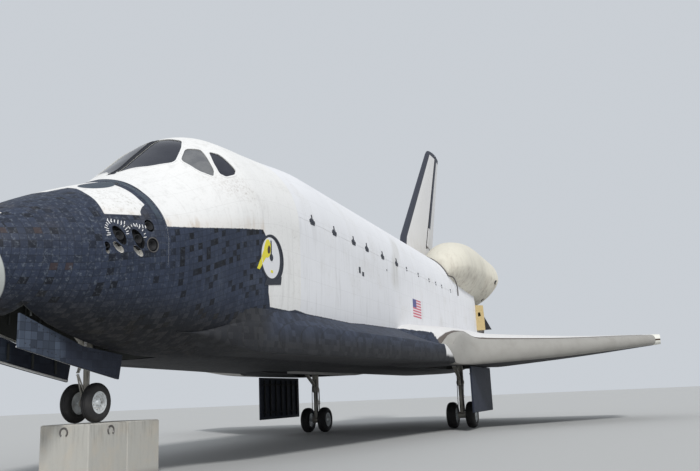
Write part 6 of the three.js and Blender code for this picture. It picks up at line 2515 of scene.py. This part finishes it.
@dataclass
class Gear:
    """Legs, wheels and doors of the nose gear and of both main gears."""

    paint: Palette
    nose: Numbers = (377.0, 0.0, 230.1)
    # the tyre's radius and width, and its distance from the axle's middle
    nose_tyre: Numbers = (16.0, 8.8, 10.2)
    main: Numbers = (1171.0, 136.0, 189.0)
    main_tyre: Numbers = (22.0, 16.0, 16.5)
    nose_door: Rows = ((273, 293), (300, 284.5), (340, 273), (388, 268), (384, 248), (340, 256), (273, 269))
    nose_door_y: Numbers = (25.0, 27.4)
    main_door: Rows = ((1038, 181.5, 195), (1196, 184.5, 266))
    # distance along the axle as a share of the tyre's width, radius as a share of the rim's
    hub: Rows = (
        (-0.3, 0), (-0.3, 0.96), (0.28, 1), (0.335, 1), (0.34, 0.985), (0.34, 0.9), (0.31, 0.86), (0.2, 0.82),
        (0.17, 0.74), (0.16, 0.5), (0.18, 0.36), (0.3, 0.32), (0.36, 0.27), (0.378, 0.2), (0.38, 0))
    # the bolts' circle as a share of the rim's radius, and their place as a share of the tyre's width
    bolts: Numbers = (0.62, 0.17)

    def wheels(self, name: str, nodes: Sequence[str], hub_node: str, body: str, centre: Array,
               sizes: Numbers, axle: float) -> None:
        """A pair of wheels on one axle.

        Args:
            name: the pair's name.
            nodes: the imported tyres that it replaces, port first.
            hub_node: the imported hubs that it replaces.
            body: the body that carries it.
            centre: the axle's middle.
            sizes: the tyre's radius and width, and its distance from the axle's middle.
            axle: the axle's radius.
        """
        radius, width, offset = sizes
        rim, round_bolts, face = radius * 0.5, *self.bolts
        hubs, points, ups = Draft(), [], []
        around = circle(np.array((1, 0, 0)), np.array((0, 0, 1)), 48)
        for node, way in zip(nodes, (-1, 1)):
            middle = centre + (0, way * offset, 0)
            finished(Tyre(middle, radius, width).draft(), (self.paint.rubber, self.paint.wheel), "tyre_rubber",
                     node, body=body, rule=lambda places, _: np.hypot(
                         places[:, 0] - centre[0], places[:, 2] - centre[2]) < radius * 0.59)
            hubs.turned([(a * width, (rim - 0.06) * r) for a, r in self.hub], middle, (0, way, 0), 72)
            points.extend(middle + (0, way * face * width, 0) + rim * round_bolts * around)
            ups.extend([(0.0, way, 0.0)] * len(around))
        hubs.rod(centre - (0, offset, 0), centre + (0, offset, 0), axle)
        finished(hubs, self.paint.wheel, "wheel_metal", hub_node, body=body)
        marks = marked(points, ups, (1, 0, 0), paths=(len(around),) * 2)
        STUDS.run(f"{name}_wheel_bolts", marks, self.paint.bright, "wheel_metal", body,
                  Spacing=rim * round_bolts * 2 * math.pi / 12, Radius=0.05 * radius, Height=0.05 * radius, Sides=6)

    def link(self, draft: Draft, start: Numbers, end: Numbers, width: float, thick: float) -> None:
        """Adds one tapered arm of a folding link, between two pins that lie along Y.

        Args:
            draft: where it goes.
            start: the wide end.
            end: the pin end.
            width: the arm's width along Y at the wide end.
            thick: its thickness.
        """
        a, b = np.array(start), np.array(end)
        up = unit(np.cross(unit(b - a), (0, 1, 0))) * thick / 2
        for sign in (-1, 1):
            wide, near = np.array((0, sign * width / 2, 0)), np.array((0, sign * width / 6, 0))
            inward = np.array((0, -sign * width * 0.2, 0))
            draft.prism((a + wide - up, b + near - up, b + near - up + inward * 0.6, a + wide - up + inward), up * 2)
        pin, small = np.array((0, width / 2 + 0.4, 0)), np.array((0, width / 4, 0))
        draft.rods(((a - pin, a + pin, thick * 0.7), (b - small, b + small, thick * 0.6)), 20)

    def nose_leg(self) -> None:
        """The nose gear's steered piston with its links, and the fixed leg with its brace."""
        (x, _, z), metal = self.nose, "gear_metal"
        fork = Draft().rod((x, 0, z), (x, 0, 261), 2.6, segments=40)
        fork.turned(((-4.2, 2.35), (-4.2, 3.6), (-3.9, 3.8), (3.9, 3.8), (4.2, 3.6), (4.2, 2.35), (-4.2, 2.35)),
                    (x, 0, z), (0, 1, 0), 40)
        fork.block((x + 1, -2, z + 6), (x + 7, 2, z + 10), 0.5)
        fork.rod((x + 6.4, -3.2, z + 8), (x + 6.4, 3.2, z + 8), 0.8, segments=20)
        self.link(fork, (x - 3.0, 0, z + 6), (x - 10.5, 0, 252.5), 5.0, 1.2)
        finished(fork, self.paint.gear, metal, "nose_gear_fork", body="nose_fork")
        leg = Draft().turned(
            ((0, 3.4), (0.6, 4.1), (3, 4.2), (3.2, 4.7), (6, 4.7), (6.2, 4.1), (30, 4.1), (30.2, 4.6), (34, 4.6),
             (34.2, 4.1), (60.7, 4.1), (60.7, 3.4)), (x, 0, 261.3), (0, 0, 1), 48)
        leg.rods((
            ((x, -28.2, 318), (x, 28.2, 318), 3.0), ((x, 0, 272), (322, 0, 320), 2.1),
            ((x - 18, 0, 287.7), (x - 30, 0, 298.2), 2.5), ((322, -28.2, 320), (322, 28.2, 320), 2.0)))
        for way in (-1, 1):
            leg.rod((x - 2, way * 4, 300), (336, way * 20, 327), 0.9, segments=20)
            leg.rod((x, way * 3.4, 266), (x, way * 3.4, 281), 1.3, segments=24)
            leg.rod((x, way * 12, 314), (x, way * 12, 322), 1.6, segments=24)
        self.link(leg, (x - 4.2, 0, 266.5), (x - 10.5, 0, 254.6), 5.6, 1.2)
        finished(leg, self.paint.gear, metal, "nose_gear_leg")
        hoses = Draft()
        for y, reach in ((3.4, 5.2), (-3.4, 5.0), (1.4, 5.6)):
            hoses.pipe(((x + 4.4, y, 312), (x + reach, y, 300), (x + reach - 0.4, y * 1.1, 286),
                        (x + reach, y, 274), (x + 4.9, y, 266)), 0.45)
        finished(hoses, self.paint.dark, metal, name="nose_gear_hoses")
        fittings = Draft().block((x - 6.6, -3.4, 276), (x - 3.8, 3.4, 284), 0.6)
        fittings.block((x - 7.4, 3.0, 289), (x - 3.2, 7.4, 295), 0.7)
        fittings.block((x - 4.6, -7.6, 297), (x - 0.6, -3.2, 304), 0.7)
        fittings.rod((x - 6, 0, 268), (x - 6, 0, 273), 1.5, segments=24)
        finished(fittings, self.paint.white, metal, name="nose_gear_fittings")

    def main_leg(self, side: Side) -> None:
        """A main gear's leg with its brace, links and brake hoses."""
        (x, y, z), word = self.main, side.word
        leg = Draft().rod((x, y, z), (x, y, 240), 4.0, segments=40)
        leg.turned(((0, 5.0), (0.8, 5.9), (3, 6.0), (3.3, 6.8), (8, 6.8), (8.3, 5.9), (36, 5.9), (36.3, 6.8),
                    (42, 6.8), (42.3, 5.9), (64.8, 5.9), (64.8, 5.0)), (x, y, 238), (0, 0, 1), 48)
        leg.turned(((-6.5, 3.4), (-6.5, 5.1), (-6.1, 5.4), (6.1, 5.4), (6.5, 5.1), (6.5, 3.4), (-6.5, 3.4)),
                   (x, y, z), (0, 1, 0), 40)
        leg.rods((((x, y, 248), (1092, y, 292), 3.1), ((1092, 108.7, 292), (1092, 180.3, 292), 3.0)))
        leg.rod((x - 2, y, 270), (1128, y + 22, 298), 1.6, segments=24)
        self.link(leg, (x + 5.4, y, 196.0), (x + 14.0, y, 218.0), 8.0, 1.8)
        self.link(leg, (x + 6.6, y, 242.0), (x + 14.0, y, 220.6), 9.0, 1.8)
        finished(leg.mirrored(side), self.paint.gear, "gear_metal", f"main_gear_leg_{word}")
        hoses = Draft()
        for way in (-1, 1):
            hoses.pipe(((x - 5, y + way * 3, 262), (x - 7.4, y + way * 4, 244), (x - 7, y + way * 4.6, 222),
                        (x - 5.4, y + way * 5.2, 203), (x - 3.4, y + way * 5.4, 195)), 0.6)
        finished(hoses.mirrored(side), self.paint.dark, "gear_metal", name=f"brake_hoses_{word}")

    def nose_doors(self, side: Side) -> None:
        """One door of the nose gear, with its rivets, ribs and seal."""
        paint, word, slot = self.paint, side.word, "gear_door"
        outline = np.asarray(self.nose_door, float)
        y0, y1 = self.nose_door_y
        door = Draft().prism(extruded(outline, 1, y0 + 0.02), (0, y1 - y0 - 0.04, 0), 0.4)
        finished(door.mirrored(side), paint.door_tile, slot, f"nose_gear_door_{word}")
        points = outline[[6, 5, 4, 0, 1, 2, 3]] + (
            (6, 3.2), (0, 2.8), (-4, 2.6), (6, -3.2), (0, -3.2), (0, -3.0), (-4, -3.2))
        marks = marked(extruded(points, 1, side.value * (y1 + 0.05)), (0, side.value, 0), (1, 0, 0), paths=(3, 4))
        STUDS.run(f"nose_door_rivets_{word}", marks, paint.dark, slot, Spacing=4.4, Radius=0.5, Height=0.35, Sides=8)
        ribs = Draft()
        for x, low, high in ((290, 268.5, 284), (316, 264.5, 277), (342, 258.5, 270), (368, 254.5, 267.5)):
            ribs.block((x - 0.8, y0 - 1.6, low), (x + 0.8, y0 + 0.1, high), 0.2)
        finished(ribs.mirrored(side), paint.well, slot, name=f"nose_door_ribs_{word}")
        seal = Draft().pipe(((274, y0 - 0.3, 269.8), (340, y0 - 0.3, 256.9), (383, y0 - 0.3, 249)), 0.8, 12)
        finished(seal.mirrored(side), paint.white, slot, name=f"nose_door_seal_{word}")

    def main_doors(self, side: Side) -> None:
        """One door of a main gear, with the ribs inside it."""
        (x0, inner, z0), (x1, _, z1) = self.main_door
        panel = Draft().block(*self.main_door, 0.6).mirrored(side)
        finished(panel, self.paint.door_tile, "gear_door", f"main_gear_door_{side.word}")
        ribs = Draft()
        for x in np.linspace(x0 + 14, x1 - 14, 7):
            ribs.block((x - 1.0, inner - 2.6, z0 + 5), (x + 1.0, inner + 0.1, z1 - 4), 0.3)
        for z in (z0 + 12, z1 - 12):
            ribs.block((x0 + 6, inner - 2.0, z - 1), (x1 - 6, inner + 0.1, z + 1), 0.3)
        finished(ribs.mirrored(side), self.paint.soot, "gear_door", name=f"main_door_ribs_{side.word}")

    def build(self) -> None:
        """Builds all of the gear."""
        self.wheels("nose", ("nose_tyre_port", "nose_tyre_starboard"), "nose_wheel_hubs", "nose_wheels",
                    np.asarray(self.nose), self.nose_tyre, 2.0)
        self.nose_leg()
        for side in Side:
            word = side.word
            places = ("inner", "outer") if side is Side.STARBOARD else ("outer", "inner")
            centre = np.asarray(self.main) * (1, side.value, 1)
            self.wheels(f"main_{word}", [f"main_tyre_{p}_{word}" for p in places], f"main_wheel_hubs_{word}",
                        f"main_wheels_{word}", centre, self.main_tyre, 3.0)
            self.main_leg(side)
        for side in Side:
            self.nose_doors(side)
            self.main_doors(side)


@dataclass
class Blocks:
    """Two cast blocks under the nose wheels, with lifting eyes on their faces."""

    paint: Palette
    spans: Sequence[tuple[str, float, float]] = (("front", 352.5, 400.5), ("rear", 400.7, 446.0))
    half: float = 24.0
    top: float = 213.8
    chamfer: float = 0.9
    # x of the eyes in the sides
    eye_x: float = 379.0

    def build(self) -> None:
        """Builds the blocks."""
        for place, low, high in self.spans:
            block = Draft().block((low, -self.half, GROUND_Z), (high, self.half, self.top), self.chamfer)
            finished(block, self.paint.concrete, "concrete", f"concrete_block_{place}")
        turn = np.radians(np.linspace(-50.0, 230.0, 25))
        across, up = 3.6 * np.cos(turn), self.top - 6.0 + 3.4 * np.sin(turn)
        loops = Draft().pipe(extruded(np.column_stack((across, up)), 0, self.spans[0][1]), 0.75)
        for y in (-self.half, self.half):
            loops.pipe(extruded(np.column_stack((across + self.eye_x, up)), 1, y), 0.75)
        finished(loops, self.paint.burnt, "concrete", name="block_lifting_loops")


# The studio


@dataclass
class Studio:
    """Camera, light, floor and air round the craft."""

    # the camera's place in metres, its heading from +Y towards +X, pitch and roll in degrees
    place: Numbers = (-28.165, -10.884, 1.4605)
    heading: float = 69.76
    pitch: float = 12.16
    roll: float = -2.5
    focal_px: float = 755.6
    width_px: float = 700.0
    sensor: float = 36.0
    reach: float = 2000.0
    air: Numbers = (0.70, 0.74, 0.79)
    air_strength: float = 0.84
    floor: Numbers = (0.46, 0.46, 0.45)
    floor_half: float = 400.0
    floor_rough: float = 0.95
    sun_to: Numbers = (0.62, 0.42, -0.66)
    sun_strength: float = 2.15
    sun_angle: float = 9.0

    def camera(self) -> None:
        """Puts the camera where the photograph was taken from."""
        heading, pitch, roll = (math.radians(v) for v in (self.heading, self.pitch, self.roll))
        forward = Vector((math.cos(pitch) * math.sin(heading), math.cos(pitch) * math.cos(heading), math.sin(pitch)))
        right = forward.cross(Vector((0, 0, 1))).normalized()
        up = right.cross(forward)
        across = right * math.cos(roll) + up * math.sin(roll)
        above = up * math.cos(roll) - right * math.sin(roll)
        data = bpy.data.cameras.new("photo_camera")
        data.sensor_width = self.sensor
        data.lens = self.focal_px / self.width_px * self.sensor
        data.clip_end = self.reach
        camera = shown("photo_camera", data)
        matrix = Matrix((across, above, -forward)).transposed().to_4x4()
        matrix.translation = Vector(self.place)
        camera.matrix_world = matrix
        bpy.context.scene.camera = camera

    def light(self) -> None:
        """An overcast sky with a broad soft sun."""
        scene = bpy.context.scene
        scene.world = world = bpy.data.worlds.new("studio_air")
        world.use_nodes = True
        background = world.node_tree.nodes["Background"].inputs
        background["Color"].default_value = (*self.air, 1.0)
        background["Strength"].default_value = self.air_strength
        data = bpy.data.lights.new("soft_sun", "SUN")
        data.energy = self.sun_strength
        data.angle = math.radians(self.sun_angle)
        shown("soft_sun", data).rotation_euler = Vector(self.sun_to).to_track_quat("-Z", "Y").to_euler()
        scene.view_settings.view_transform = "Standard"

    def ground(self) -> None:
        """A plain pale floor that takes the craft's shadow."""
        half = self.floor_half
        mesh = bpy.data.meshes.new("studio_floor")
        mesh.from_pydata([(-half, -half, 0), (half, -half, 0), (half, half, 0), (-half, half, 0)], [], [(0, 1, 2, 3)])
        material = bpy.data.materials.new("studio_floor")
        material.use_nodes = True
        shader = material.node_tree.nodes["Principled BSDF"].inputs
        shader["Base Color"].default_value = (*self.floor, 1.0)
        shader["Roughness"].default_value = self.floor_rough
        dressed(shown("studio_floor", mesh), material)

    def build(self) -> None:
        """Sets up the whole studio."""
        self.camera()
        self.light()
        self.ground()


def main() -> None:
    """Builds every sub-assembly in order, then the studio."""
    logging.basicConfig(level=logging.INFO, format="%(name)s: %(message)s")
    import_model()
    paint = Palette()
    Nose(paint).build()
    Bay(paint).build()
    Stern(paint).build()
    for side in Side:
        Pod(paint, side).build()
        Wing(paint, side).build()
    Tail(paint).build()
    Gear(paint).build()
    Blocks(paint).build()
    Studio().build()
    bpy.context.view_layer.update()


if __name__ == "__main__":
    main()
